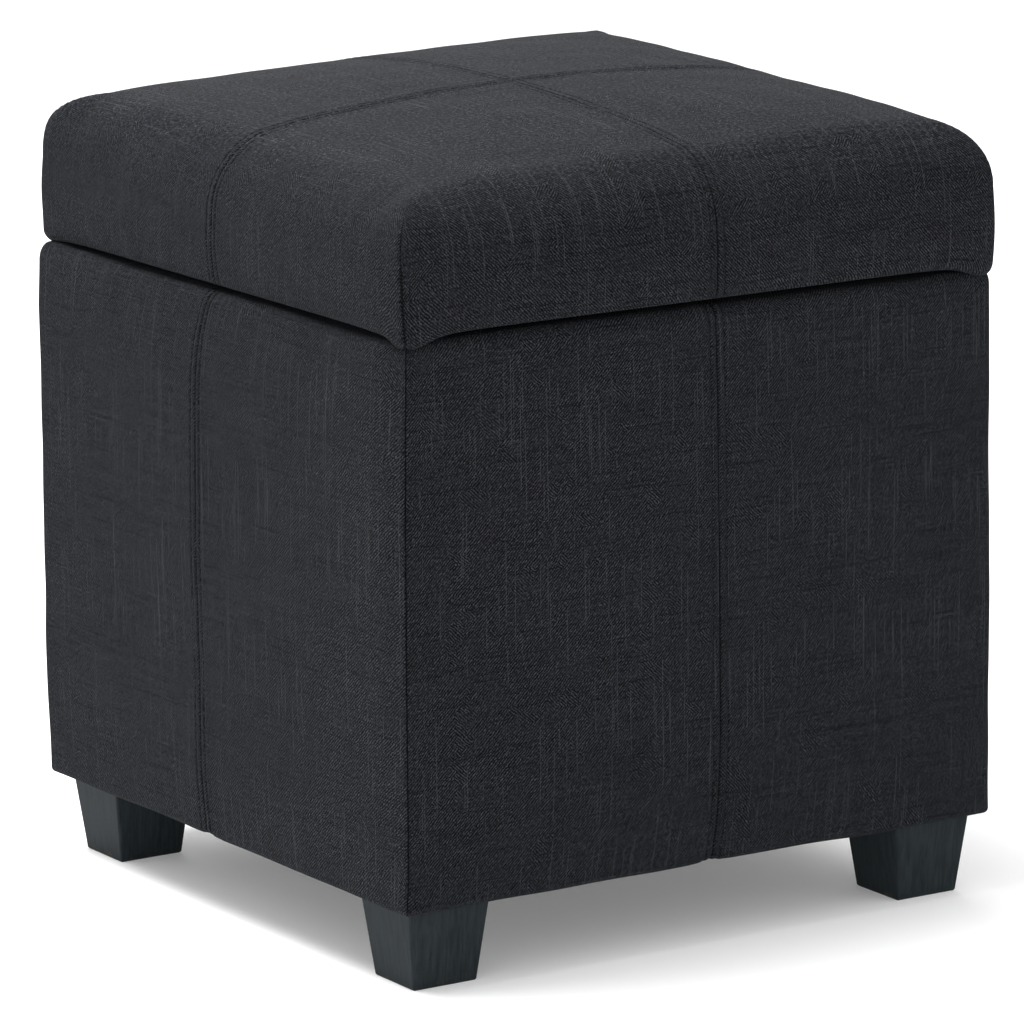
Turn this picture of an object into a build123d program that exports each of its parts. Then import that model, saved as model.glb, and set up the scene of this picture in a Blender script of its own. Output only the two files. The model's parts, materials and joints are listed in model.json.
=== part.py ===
"""Square storage ottoman: an upholstered box on four tapered feet, with a hinged padded lid.

Frame: millimetres, +Z up, origin at the centre of the footprint on the floor.
The front faces -Y, the lid is hinged along the back (+Y), left is -X.
"""

from build123d import *
from math import cos, hypot, radians, sin
import os

os.makedirs("parts", exist_ok=True)

# ---- driving dimensions ----
body_half = 200.0          # half the width of the upholstered box
lid_half = 202.5           # half the width of the upholstered lid
total_height = 476.0       # floor to the top of the lid's crown
cut_margin = 1.0           # how far a cutting block or an overlap runs past the shape it meets
foot_height = 47.0
parting_level = 373.4      # middle of the gap between box and lid
parting_gap = 0.8

fabric = 1.5               # cover cloth with its backing
lining = 0.8
lining_drop = 9.6          # rim of the lining below the box's top
dust_cloth = 0.6
box_foam = 8.0
lid_batting = 4.0
board = 15.0               # all boards are the same sheet

box_corner_r = 5.0
box_roll_r = 9.5           # top edge of the box
box_hem_r = 4.0            # bottom edge of the box
lid_roll_r = 32.0          # top edge of the lid
lid_lip_r = 12.0           # bottom edge of the lid
lid_crown = 15.0           # rise of the lid's top from mid-edge to middle
box_turn_in = 35.0         # cover turned down inside the box
box_turn_under = 40.0      # cover turned under the box
lid_turn_under = 52.5      # cover turned under the lid
lid_lining_half = 168.0
dust_half = 190.0

foot_top = 53.0            # square foot, top and bottom widths
foot_bottom = 42.0
foot_centre = 166.7
foot_edge_r = 1.5
foot_chamfer = 0.8
bolt_r = 4.0
bolt_low = 14.0            # the hanger bolt's end inside the foot
bolt_below_top = 1.0       # its other end, below the base board's top
thread_depth = 0.4
tee_barrel = 11.0
tee_barrel_r = 5.0
tee_flange_r = 10.0
tee_flange = 1.2

hinge_y = 199.0            # hinge pin line, at the parting level
hinge_x = 120.0
hinge_length = 60.0
hinge_leaf = 1.2
hinge_front = 178.0        # front edge of the leaves
hinge_screw_y = 184.0
hinge_screw_offsets = (-22.0, 0.0, 22.0)
leaf_gap = 0.3             # each leaf's face from the parting level
leaf_end_gap = 0.4         # between a leaf's flat part and the barrel
pin_head_r = 2.2
pin_head = 1.0
barrel_room = 0.5          # clearance of the lid's cloth around the barrel
barrel_end_room = 2.0
barrel_r = 3.0
pin_r = 1.5
knuckles = 5
knuckle_gap = 0.3

lid_open = 100.0           # degrees, the lid's stop
stay_width = 14.0
stay_metal = 1.5
stay_gap = 0.5             # side gap between neighbouring strips
stay_lid_pivot = (82.6, 361.4)     # (y, z) of the pivot on the lid bracket
stay_wall_pivot = (151.0, 255.4)   # (y, z) of the pivot on the wall bracket
rivet_r = 2.5
rivet_head_r = 5.0
rivet_head = 1.0
running_fit = 0.08
open_pivot_fit = 0.4
head_gap = 0.3             # side gap between a rivet's head and the strip beside it
stop_gap = 0.25
stop_lug_r = 2.5
stop_lug_reach = 18.0      # along the lower arm from its pivot
stop_lug_gap = 0.1
wall_plate_y = (-15.0, 17.0)       # edges of the wall bracket's plate about its pivot
wall_plate_z = (-21.0, 24.0)
wall_plate_r = 4.0
wall_screw_offsets = ((-8.0, -13.0), (8.0, -13.0), (-6.0, 15.0))
flange_width = 20.0        # the lid bracket's flange
flange_half_length = 18.0
flange_r = 3.0
tab_r = 9.0
flange_screw_inset = 11.0
flange_screw_offsets = (-11.0, 11.0)

screw_r = 1.6
screw_head_r = 3.0
screw_tip = 3.0
recess_arm = (3.2, 0.8, 1.6)       # each arm of a screw's cross recess
panel_screw_length = 45.0
panel_screw_low = 40.0             # lowest one above the base board
panel_screw_high = 60.0            # highest one below the panel's top
base_screw_length = 40.0
base_screw_spacing = 100.0
hinge_screw_length = 14.0
wall_screw_length = 14.0
flange_screw_length = 16.0

staple_crown = 10.0
staple_wire = 0.5
staple_width = 1.0
staple_leg = 8.0
lining_staple_leg = 9.0
staple_edge = 6.0                  # in from the edge of a stapled sheet
lining_staple_drop = 8.0
lining_staple_places = (-150.0, -100.0, -50.0, 0.0, 50.0, 120.0)
dust_staple_places = (-110.0, -55.0, 0.0, 55.0, 110.0)
lid_staple_places = (-135.0, -90.0, -45.0, 0.0, 45.0, 135.0)

# ---- levels and planes worked out from them ----
box_top = parting_level - parting_gap / 2
lid_bottom = parting_level + parting_gap / 2
board_half = body_half - fabric - box_foam
panel_inner = board_half - board
box_bottom = foot_height + dust_cloth
base_bottom = box_bottom + fabric
base_top = base_bottom + board
panel_top = box_top - fabric
lid_board_bottom = lid_bottom + fabric
lid_board_top = lid_board_bottom + board
lining_outer = panel_inner - fabric
bin_half = lining_outer - lining
lining_top = box_top - lining_drop
bracket_x = bin_half - stay_metal            # inner face of the wall bracket
lower_arm_x = bracket_x - stay_gap - stay_metal
upper_arm_x = lower_arm_x - stay_gap - stay_metal

SIDES = {"left": -1, "right": 1}
CORNERS = {"front_left": (-1, -1), "front_right": (1, -1), "back_left": (-1, 1), "back_right": (1, 1)}


# ---- shared shapes ----
def block(x, y, z):
    """Box between two values on each axis."""
    lows = [min(pair) for pair in (x, y, z)]
    sizes = [max(pair) - min(pair) for pair in (x, y, z)]
    return Pos(*lows) * Box(*sizes, align=(Align.MIN, Align.MIN, Align.MIN))


def square_block(half, low, high):
    """Upright square block about the centre line."""
    return Pos(0, 0, low) * extrude(Rectangle(2 * half, 2 * half), high - low)


def rod(start, end, radius):
    """Round rod between two points."""
    axis = Vector(*end) - Vector(*start)
    return Plane(origin=start, z_dir=axis) * extrude(Circle(radius), axis.length)


def group(shapes):
    """One node made of several separate solids."""
    whole = shapes[0]
    for shape in shapes[1:]:
        whole += shape
    return whole


def box_form(inset):
    """The upholstered box, or the form a given depth inside its cover."""
    form = square_block(body_half - inset, box_bottom + inset, box_top - inset)
    form = fillet(form.edges().group_by(Axis.Z)[-1], box_roll_r - inset)
    form = fillet(form.edges().filter_by(Axis.Z), box_corner_r - inset)
    return fillet(form.edges().group_by(Axis.Z)[0], box_hem_r - inset)


def lid_form(inset, low, low_r):
    """The upholstered lid under its round crown, or the form a given depth inside its cover."""
    half = lid_half - inset
    top = total_height - inset
    crown_r = (half ** 2 + lid_crown ** 2) / (2 * lid_crown)
    form = square_block(half, low, top + cut_margin) & Pos(0, 0, top - crown_r) * Sphere(crown_r)
    upper = [edge for edge in form.edges() if edge.center().Z > low + cut_margin and not is_upright(edge)]
    form = fillet(upper, lid_roll_r - inset)
    return fillet(form.edges().group_by(Axis.Z)[0], low_r) if low_r else form


def is_upright(edge):
    return abs(edge.tangent_at(0.5).Z) > 0.5


def screw(head, direction, length, recess=True):
    """Countersunk wood screw, its head's flat face at the head point."""
    sink = hinge_leaf
    outline = Polyline((0, 0), (screw_head_r, 0), (screw_r, -sink), (screw_r, screw_tip - length),
                       (0, -length), close=True)
    body = revolve(Plane.XZ * make_face(outline), Axis.Z)
    if recess:
        slot = Box(*recess_arm)
        body -= slot + Rot(0, 0, 90) * slot
    return Plane(origin=head, z_dir=Vector(*direction) * -1) * body


def staple(middle, along, inward, leg):
    """Wire staple: a crown lying on the cloth and two legs driven inwards."""
    profile = Rectangle(staple_crown, staple_wire, align=(Align.CENTER, Align.MIN))
    side = Rectangle(staple_wire, leg, align=(Align.CENTER, Align.MAX))
    for end in (-1, 1):
        profile += Pos(end * (staple_crown - staple_wire) / 2, 0) * side
    body = extrude(profile, staple_width / 2, both=True)
    outward = Vector(*inward) * -1
    return Plane(origin=middle, x_dir=along, z_dir=Vector(*along).cross(outward)) * body


# ---- box: boards ----
def base_board():
    plate = square_block(board_half, base_bottom, base_top)
    for x, y in foot_places():
        plate -= rod((x, y, base_bottom), (x, y, base_top), tee_barrel_r)
        plate -= rod((x, y, base_top - tee_flange), (x, y, base_top), tee_flange_r)
    return plate


def cross_panel(side):
    """Front (-1) or back (+1) board, as wide as the base."""
    return block((-board_half, board_half), (side * panel_inner, side * board_half), (base_top, panel_top))


def side_panel(side):
    """Left (-1) or right (+1) board, standing between the front and back boards."""
    return block((side * panel_inner, side * board_half), (-panel_inner, panel_inner), (base_top, panel_top))


def panel_screws():
    middle = (panel_inner + board_half) / 2
    levels = [base_top + panel_screw_low, (base_top + panel_top) / 2, panel_top - panel_screw_high]
    return group([
        screw((x * middle, y * board_half, z), (0, -y, 0), panel_screw_length, recess=False)
        for x in (-1, 1) for y in (-1, 1) for z in levels
    ])


def base_screws():
    middle = (panel_inner + board_half) / 2
    places = [(side * middle, step * base_screw_spacing) for side in (-1, 1) for step in (-1, 0, 1)]
    places += [(y, x) for x, y in places]
    return group([screw((x, y, base_bottom), (0, 0, 1), base_screw_length, recess=False) for x, y in places])


# ---- box: padding and cloth ----
def box_padding():
    """Foam sleeve between the boards and the cover."""
    return box_form(fabric) - square_block(board_half, base_bottom, panel_top)


def cross_foam(side):
    return box_padding() & block((-body_half, body_half), (side * board_half, side * body_half),
                                 (0, total_height))


def side_foam(side):
    return box_padding() & block((side * board_half, side * body_half), (-board_half, board_half),
                                 (0, total_height))


def hinge_pocket(level, thickness):
    """Room that both hinges' leaves press into the cloth."""
    low = min(level, level + thickness)
    return group([
        block((side * hinge_x - hinge_length / 2, side * hinge_x + hinge_length / 2),
              (hinge_front, body_half), (low, low + abs(thickness)))
        for side in (-1, 1)
    ])


def box_cover():
    shell = box_form(0) - box_form(fabric)
    shell -= square_block(panel_inner, panel_top, box_top)
    shell -= square_block(body_half - box_turn_under, box_bottom, base_bottom)
    turn_in = square_block(panel_inner, box_top - box_turn_in, box_top)
    turn_in -= square_block(lining_outer, box_top - box_turn_in, box_top)
    cover = shell + turn_in - hinge_pocket(leaf_level(-1), -hinge_leaf)
    for x, y in foot_places():
        cover -= rod((x, y, box_bottom), (x, y, base_bottom), tee_barrel_r)
    return cover


def box_lining():
    tray = square_block(lining_outer, base_top, lining_top)
    return tray - square_block(bin_half, base_top + lining, lining_top)


def sheet_staples(edge, level, places):
    """Staples driven up through a square sheet, along its four edges."""
    staples = []
    for side in (-1, 1):
        for place in places:
            staples.append(staple((side * edge, place, level), (0, 1, 0), (0, 0, 1), staple_leg))
            staples.append(staple((place, side * edge, level), (1, 0, 0), (0, 0, 1), staple_leg))
    return group(staples)


def lining_staples():
    level = lining_top - lining_staple_drop
    leg = lining_staple_leg
    staples = []
    for side in (-1, 1):
        for place in lining_staple_places:
            staples.append(staple((side * bin_half, place, level), (0, 1, 0), (side, 0, 0), leg))
            staples.append(staple((place, side * bin_half, level), (1, 0, 0), (0, side, 0), leg))
    return group(staples)


def dust_cover():
    sheet = square_block(dust_half, foot_height, box_bottom)
    for x, y in foot_places():
        sheet -= rod((x, y, foot_height), (x, y, box_bottom), tee_barrel_r)
    return sheet


def dust_cover_staples():
    return sheet_staples(dust_half - staple_edge, foot_height, dust_staple_places)


# ---- feet ----
def foot_places():
    return [(x * foot_centre, y * foot_centre) for x, y in CORNERS.values()]


def foot(x, y):
    """Square block, tapered on all four sides, with eased edges."""
    bottom = Rectangle(foot_bottom, foot_bottom)
    top = Pos(0, 0, foot_height) * Rectangle(foot_top, foot_top)
    blank = loft([bottom, top])
    blank = fillet([edge for edge in blank.edges() if is_upright(edge)], foot_edge_r)
    blank = chamfer(blank.edges().group_by(Axis.Z)[0], foot_chamfer)
    return Pos(x, y, 0) * blank


def foot_hanger_bolts():
    return group([rod((x, y, bolt_low), (x, y, base_top - bolt_below_top), bolt_r) for x, y in foot_places()])


def foot_tee_nuts():
    nuts = []
    for x, y in foot_places():
        barrel = rod((x, y, base_top - tee_barrel), (x, y, base_top), tee_barrel_r)
        flange = rod((x, y, base_top - tee_flange), (x, y, base_top), tee_flange_r)
        thread = rod((x, y, base_top - tee_barrel), (x, y, base_top), bolt_r - thread_depth)
        nuts.append(barrel + flange - thread)
    return group(nuts)


# ---- lid: board, padding and cloth ----
def lid_board():
    return square_block(board_half, lid_board_bottom, lid_board_top)


def lid_foam():
    return lid_form(fabric + lid_batting, lid_board_top, 0.0)


def lid_batting_wrap():
    core = lid_form(fabric, lid_board_bottom, lid_lip_r - fabric)
    return core - lid_foam() - lid_board()


def lid_cover():
    shell = lid_form(0, lid_bottom, lid_lip_r) - lid_form(fabric, lid_board_bottom, lid_lip_r - fabric)
    shell -= square_block(lid_half - lid_turn_under, lid_bottom, lid_board_bottom)
    shell -= hinge_pocket(leaf_level(1), hinge_leaf)
    reach = hinge_length / 2 + barrel_end_room
    for side in (-1, 1):
        middle = side * hinge_x
        shell -= rod((middle - reach, hinge_y, parting_level), (middle + reach, hinge_y, parting_level),
                     barrel_r + barrel_room)
    return shell


def lid_lining():
    return square_block(lid_lining_half, lid_bottom - lining, lid_bottom)


def lid_staples():
    return sheet_staples(lid_lining_half - staple_edge, lid_bottom - lining, lid_staple_places)


# ---- hinges ----
def leaf_level(side):
    """Face nearest the parting, of the box (-1) or lid (+1) leaf."""
    return parting_level + side * leaf_gap


def hinge_screw_places(side):
    return [(side * hinge_x + offset, hinge_screw_y) for offset in hinge_screw_offsets]


def hinge_leaf_plate(side, owner):
    """One leaf with its knuckles: owner -1 is the box's leaf, +1 the lid's."""
    start = side * hinge_x - hinge_length / 2
    near = leaf_level(owner)
    leaf = block((start, start + hinge_length), (hinge_front, hinge_y - barrel_r - leaf_end_gap),
                 (near, near + owner * hinge_leaf))
    pitch = hinge_length / knuckles
    for index in range(knuckles):
        if (index % 2 == 0) != (owner < 0):
            continue
        low = start + index * pitch + (knuckle_gap / 2 if index else 0)
        high = start + (index + 1) * pitch - (knuckle_gap / 2 if index < knuckles - 1 else 0)
        leaf += rod((low, hinge_y, parting_level), (high, hinge_y, parting_level), barrel_r)
        leaf += block((low, high), (hinge_y - barrel_r - cut_margin, hinge_y),
                      (near, near + owner * hinge_leaf))
    bore = pin_r if owner < 0 else pin_r + running_fit
    leaf -= rod((start, hinge_y, parting_level), (start + hinge_length, hinge_y, parting_level), bore)
    for x, y in hinge_screw_places(side):
        leaf -= screw((x, y, near), (0, 0, owner), hinge_screw_length, recess=False)
    return leaf


def hinge_screws(owner):
    near = leaf_level(owner)
    places = hinge_screw_places(-1) + hinge_screw_places(1)
    return group([screw((x, y, near), (0, 0, owner), hinge_screw_length) for x, y in places])


def hinge_pin(side):
    start = side * hinge_x - hinge_length / 2
    end = start + hinge_length
    pin = rod((start, hinge_y, parting_level), (end, hinge_y, parting_level), pin_r)
    for x, step in ((start, -pin_head), (end, pin_head)):
        pin += rod((x, hinge_y, parting_level), (x + step, hinge_y, parting_level), pin_head_r)
    return pin


# ---- folding stays ----
def turned(vector, degrees):
    """A (y, z) vector turned the way the lid opens."""
    y, z = vector
    angle = radians(degrees)
    return (y * cos(angle) + z * sin(angle), z * cos(angle) - y * sin(angle))


def elbow():
    """Fourth corner of the parallelogram made by the hinge line and the stay's pivots."""
    return (stay_wall_pivot[0] + stay_lid_pivot[0] - hinge_y,
            stay_wall_pivot[1] + stay_lid_pivot[1] - parting_level)


def strip(side, inner_face, start, end, end_fit):
    """Flat steel strip between two pivots given as (y, z)."""
    run = (end[0] - start[0], end[1] - start[1])
    length = hypot(*run)
    outline = SlotCenterToCenter(length, stay_width)
    outline -= Pos(-length / 2, 0) * Circle(rivet_r + (0 if end_fit else running_fit))
    outline -= Pos(length / 2, 0) * Circle(rivet_r + end_fit)
    middle = (side * (inner_face + stay_metal / 2), (start[0] + end[0]) / 2, (start[1] + end[1]) / 2)
    plane = Plane(origin=middle, x_dir=(0, *run), z_dir=(1, 0, 0))
    return plane * extrude(outline, stay_metal / 2, both=True)


def lower_arm(side):
    return strip(side, lower_arm_x, stay_wall_pivot, elbow(), 0.0)


def upper_arm(side):
    arm = strip(side, upper_arm_x, elbow(), stay_lid_pivot, open_pivot_fit)
    y, z = elbow()
    return arm - rod((side * upper_arm_x, y, z), (side * lower_arm_x, y, z), rivet_r + running_fit)


def rivet(side, pivot, inner, outer, heads):
    """Rivet along X through a pivot: heads are (from, to) spans."""
    y, z = pivot
    body = rod((side * inner, y, z), (side * outer, y, z), rivet_r)
    for low, high in heads:
        body += rod((side * low, y, z), (side * high, y, z), rivet_head_r)
    return body


def moving_rivet(side, pivot):
    """Rivet that holds the upper arm beside the lower arm or the lid bracket."""
    inner = upper_arm_x - head_gap
    outer = lower_arm_x + stay_metal
    heads = [(inner - rivet_head, inner), (outer, outer + rivet_head)]
    return rivet(side, pivot, inner - rivet_head, outer + rivet_head, heads)


def wall_rivet(side):
    inner = lower_arm_x - head_gap
    return rivet(side, stay_wall_pivot, inner - rivet_head, bin_half, [(inner - rivet_head, inner)])


def wall_bracket_screw_places():
    y, z = stay_wall_pivot
    return [(y + dy, z + dz) for dy, dz in wall_screw_offsets]


def wall_bracket(side):
    """Plate screwed to the side board, with a lug that stops the lower arm."""
    y, z = stay_wall_pivot
    plate = block((side * bracket_x, side * bin_half), [y + edge for edge in wall_plate_y],
                  [z + edge for edge in wall_plate_z])
    plate = fillet(plate.edges().filter_by(Axis.X), wall_plate_r)
    plate -= rod((side * bracket_x, y, z), (side * bin_half, y, z), rivet_r)
    arm_y, arm_z = turned((stay_lid_pivot[0] - hinge_y, stay_lid_pivot[1] - parting_level), lid_open)
    length = hypot(arm_y, arm_z)
    along = (arm_y / length, arm_z / length)
    off = stay_width / 2 + stop_gap + stop_lug_r
    lug_y = y + stop_lug_reach * along[0] + off * along[1]
    lug_z = z + stop_lug_reach * along[1] - off * along[0]
    lug_x = lower_arm_x + stop_lug_gap
    plate += rod((side * lug_x, lug_y, lug_z), (side * bin_half, lug_y, lug_z), stop_lug_r)
    for sy, sz in wall_bracket_screw_places():
        plate -= screw((side * bracket_x, sy, sz), (side, 0, 0), wall_screw_length, recess=False)
    return plate


def stay_bracket_screws_box():
    return group([
        screw((side * bracket_x, y, z), (side, 0, 0), wall_screw_length)
        for side in SIDES.values() for y, z in wall_bracket_screw_places()
    ])


def lid_bracket_screw_places(side):
    x = side * (lower_arm_x - flange_screw_inset)
    return [(x, stay_lid_pivot[0] + offset) for offset in flange_screw_offsets]


def lid_bracket(side):
    """Angle under the lid that carries the upper arm's pivot."""
    y, z = stay_lid_pivot
    top = lid_bottom - lining
    tab_outer = lower_arm_x + stay_metal
    flange = block((side * (tab_outer - flange_width), side * tab_outer),
                   (y - flange_half_length, y + flange_half_length), (top - stay_metal, top))
    flange = fillet(flange.edges().filter_by(Axis.Z), flange_r)
    tab = block((side * lower_arm_x, side * tab_outer), (y - tab_r, y + tab_r), (z, top))
    tab += rod((side * lower_arm_x, y, z), (side * tab_outer, y, z), tab_r)
    bracket = flange + tab - rod((side * lower_arm_x, y, z), (side * tab_outer, y, z), rivet_r)
    for x, sy in lid_bracket_screw_places(side):
        bracket -= screw((x, sy, top - stay_metal), (0, 0, 1), flange_screw_length, recess=False)
    return bracket


def stay_bracket_screws_lid():
    level = lid_bottom - lining - stay_metal
    return group([
        screw((x, y, level), (0, 0, 1), flange_screw_length)
        for side in SIDES.values() for x, y in lid_bracket_screw_places(side)
    ])


# ---- every node ----
nodes = {
    "base_board": base_board(),
    "front_panel": cross_panel(-1),
    "back_panel": cross_panel(1),
    "left_panel": side_panel(-1),
    "right_panel": side_panel(1),
    "panel_screws": panel_screws(),
    "base_screws": base_screws(),
    "front_foam": cross_foam(-1),
    "back_foam": cross_foam(1),
    "left_foam": side_foam(-1),
    "right_foam": side_foam(1),
    "box_cover": box_cover(),
    "box_lining": box_lining(),
    "lining_staples": lining_staples(),
    "dust_cover": dust_cover(),
    "dust_cover_staples": dust_cover_staples(),
    "foot_hanger_bolts": foot_hanger_bolts(),
    "foot_tee_nuts": foot_tee_nuts(),
    "lid_board": lid_board(),
    "lid_foam": lid_foam(),
    "lid_batting": lid_batting_wrap(),
    "lid_cover": lid_cover(),
    "lid_lining": lid_lining(),
    "lid_staples": lid_staples(),
    "hinge_screws_box": hinge_screws(-1),
    "hinge_screws_lid": hinge_screws(1),
    "stay_bracket_screws_box": stay_bracket_screws_box(),
    "stay_bracket_screws_lid": stay_bracket_screws_lid(),
}
for corner, (x, y) in CORNERS.items():
    nodes["foot_" + corner] = foot(x * foot_centre, y * foot_centre)
for name, side in SIDES.items():
    nodes["hinge_box_leaf_" + name] = hinge_leaf_plate(side, -1)
    nodes["hinge_lid_leaf_" + name] = hinge_leaf_plate(side, 1)
    nodes["hinge_pin_" + name] = hinge_pin(side)
    nodes["stay_wall_bracket_" + name] = wall_bracket(side)
    nodes["stay_wall_rivet_" + name] = wall_rivet(side)
    nodes["stay_lower_arm_" + name] = lower_arm(side)
    nodes["stay_elbow_rivet_" + name] = moving_rivet(side, elbow())
    nodes["stay_upper_arm_" + name] = upper_arm(side)
    nodes["stay_lid_rivet_" + name] = moving_rivet(side, stay_lid_pivot)
    nodes["stay_lid_bracket_" + name] = lid_bracket(side)

for name, shape in nodes.items():
    export_step(shape, f"parts/{name}.step")
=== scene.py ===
"""Looks of the storage ottoman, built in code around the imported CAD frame. Metres, +Z up, front is -Y."""

import json
import math

import bpy
import numpy as np
from mathutils import Matrix, Vector

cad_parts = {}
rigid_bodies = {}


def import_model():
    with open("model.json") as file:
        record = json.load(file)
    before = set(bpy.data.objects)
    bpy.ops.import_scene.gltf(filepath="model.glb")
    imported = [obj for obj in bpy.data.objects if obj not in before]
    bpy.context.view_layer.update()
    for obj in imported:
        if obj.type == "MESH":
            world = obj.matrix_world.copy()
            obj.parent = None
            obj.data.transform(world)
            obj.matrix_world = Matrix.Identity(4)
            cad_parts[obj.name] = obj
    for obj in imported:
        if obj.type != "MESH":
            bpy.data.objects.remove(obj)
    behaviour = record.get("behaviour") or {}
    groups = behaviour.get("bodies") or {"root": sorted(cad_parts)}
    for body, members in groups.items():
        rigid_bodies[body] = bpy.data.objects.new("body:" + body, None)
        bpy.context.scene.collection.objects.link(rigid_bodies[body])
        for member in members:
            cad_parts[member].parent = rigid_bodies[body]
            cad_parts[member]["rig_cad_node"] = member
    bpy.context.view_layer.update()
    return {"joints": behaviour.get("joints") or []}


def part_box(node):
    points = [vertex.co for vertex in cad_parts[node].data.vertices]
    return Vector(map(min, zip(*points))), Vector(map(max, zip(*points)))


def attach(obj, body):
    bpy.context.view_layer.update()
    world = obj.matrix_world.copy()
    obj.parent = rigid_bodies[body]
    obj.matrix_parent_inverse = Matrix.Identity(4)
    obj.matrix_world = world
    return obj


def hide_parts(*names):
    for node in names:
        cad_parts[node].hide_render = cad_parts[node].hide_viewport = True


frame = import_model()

MM = 0.001

# ---- places read from the frame ----
BOX_LOW, BOX_HIGH = (np.array(corner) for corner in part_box("box_cover"))
LID_LOW, LID_HIGH = (np.array(corner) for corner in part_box("lid_cover"))
BOX_HALF, BOX_BOTTOM, BOX_TOP = BOX_HIGH[0], BOX_LOW[2], BOX_HIGH[2]
LID_HALF, LID_BOTTOM = LID_HIGH[0], LID_LOW[2]
HINGE = next(joint for joint in frame["joints"] if joint["name"] == "lid_hinge")
HINGE_Y, HINGE_Z = HINGE["pos_m"][1:]

# ---- driving sizes of the upholstery ----
CLOTH = 1.2 * MM              # cloth with its backing
STITCH_ROW = 4.8 * MM         # topstitch rows, each side of a seam
STITCH_PITCH = 5.5 * MM
STITCH_LENGTH = 4.3 * MM
THREAD = 0.5 * MM
YARN = 0.50 * MM              # yarn spacing of the weave
CORNER_RUN = -10.0            # stands for the run along a seam that has no topstitching
STITCH_SIDES = 6
STITCH_RINGS = (    # share of the length, share of the thickness, height in millimetres
    (-0.5, 0.35, -0.40), (-0.40, 0.9, -0.05), (0.0, 1.0, 0.12), (0.40, 0.9, -0.05), (0.5, 0.35, -0.40))

BOX_CORNER = 4.0 * MM
BOX_ROLL = (6.5 * MM, 10.0 * MM)    # top edge: inwards, downwards
BOX_EDGE_FALL = 1.2 * MM            # how far the padding outside the boards lies below their tops
BOX_HEM = 4.0 * MM
BOX_FACE_STEP = 0.45                # from one face's weave to the next, metres
ROWS_SEWN_ABOVE = 5                 # mesh rows of the top edge that the stitches reach
LID_ROLL = 35.3 * MM
LID_LIP = (4.5 * MM, 7.5 * MM)      # bottom edge: inwards, upwards
LID_EDGE_RISE = 1.5 * MM            # how far the padding outside the lid's board lies above its bottom
LID_CROWN = (0.30, 0.47, -0.154)    # the top's fall: along each axis, less at the corners, at the edges
LID_LEAN = (0.021, 0.028)           # the pad is a little fuller to the right and to the back
LID_SEAM_TOP = 441.0 * MM           # the upright corner seams end here
LID_SHIFT = 1.5 * MM                # the lid sits a little to the right
LID_TOP = LID_HIGH[2] - 0.9 * MM
# shift of the seam that runs to the back, at its front and back end, and of the other, at left and right
LID_SEAM_SHIFTS = ((8 * MM, -6 * MM), (0.0, -4 * MM))
# the cloth turned in under the lid: inset in millimetres, height above the bottom in shares of LID_EDGE_RISE
LID_UNDER = ((7, 1.0), (9.5, 0.5), (12, 0), (16, 0), (22, 0), (32, 0), (42, 0), (51, 0))
LID_SIDE_ROWS = 9
PARTING_CORNER = 34 * MM            # the parting closes within about this distance of a corner
LID_FOLDS = ((0.45 * MM, 0.11), (0.18 * MM, 0.035))     # low folds: height, wavelength
BOX_FOLDS = ((0.40 * MM, 0.13), (0.14 * MM, 0.04))
CORNER_SAG = (5.6 * MM, 1.5 * MM)   # how far the lid's lip hangs at its front and back corners
CORNER_SAG_REACH = (15 * MM, 9 * MM)    # along the front, along the other sides
CORNER_DITCH = (0.9 * MM, 0.75 * MM)    # depth of the upright corner seams: lid, box
HEM_LIFT = 1.6 * MM                 # the box's hem is drawn up this far at its seams

HINGE_ROOM = 3.9 * MM               # cloth stays this far from the hinges' axis
HINGE_REACH = (40 * MM, 33 * MM)    # half the length that is cleared, fading between the two
LID_SKIN_LINES = 61                 # mesh lines across the batting and the lid's foam
BATTING_BOTTOM, BATTING_INSET, BATTING_THICKNESS = 386 * MM, 2.9 * MM, 1.8 * MM
FOAM_BOTTOM, FOAM_INSET = 390.5 * MM, 5.4 * MM
STAY_BRACKET = (0.151, 0.256)       # y and z of the stays' wall brackets, where the bin's lining lies flat
SLAB_ROOM = 2.6 * MM                # room for the cover's ditches outside a foam slab
SLAB_TOP_ROOM = 5.0 * MM
SLAB_END_TRIM = 7.0 * MM            # at the upright corners, on the front and back slabs
SLAB_TRIM = 0.3 * MM
SLAB_EDGE = 2.2 * MM
SLAB_STEP = 12 * MM

WARP_COLOUR = (0.0232, 0.0245, 0.0290, 1)
SLUB_COLOUR = (0.0500, 0.0525, 0.0590, 1)
WEFT_COLOUR = (0.0018, 0.0020, 0.0026, 1)
STEELS = {      # by material slot: finish, colour, roughness, noise scale of its lines on each axis
    "hinge_steel": ("bright_hinge_steel", (0.40, 0.39, 0.37, 1), 0.32, (60.0, 2600.0, 900.0)),
    "stay_steel": ("stay_strip_steel", (0.42, 0.42, 0.42, 1), 0.32, (2600.0, 120.0, 120.0)),
    "zinc_steel": ("zinc_plated_steel", (0.44, 0.44, 0.40, 1), 0.36, (900.0, 900.0, 900.0)),
    "screw_steel": ("yellow_zinc_screws", (0.50, 0.43, 0.26, 1), 0.32, (1500.0, 1500.0, 600.0)),
    "staple_wire": ("staple_wire_steel", (0.48, 0.49, 0.50, 1), 0.32, (1800.0, 1800.0, 1800.0)),
}

FLOOR_HALF = 30.0
LIGHTS_AIM = (0, 0, 0.3)
LIGHTS = (      # name, place, width in metres, power in watts
    ("key", (-0.70, 0.45, 2.90), 1.4, 114),
    ("rim", (0.9, 2.3, 1.6), 1.2, 22),
)
CAMERA_ANGLES = (-32.44, 12.35, -0.565)     # azimuth, elevation and roll, degrees
CAMERA_DISTANCE = 4.098
CAMERA_AIM = (0, 0, 0.218)
CAMERA_LENS = 243.97                        # millimetres
CAMERA_SENSOR = 36.0

RNG_SEED = 7


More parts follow.
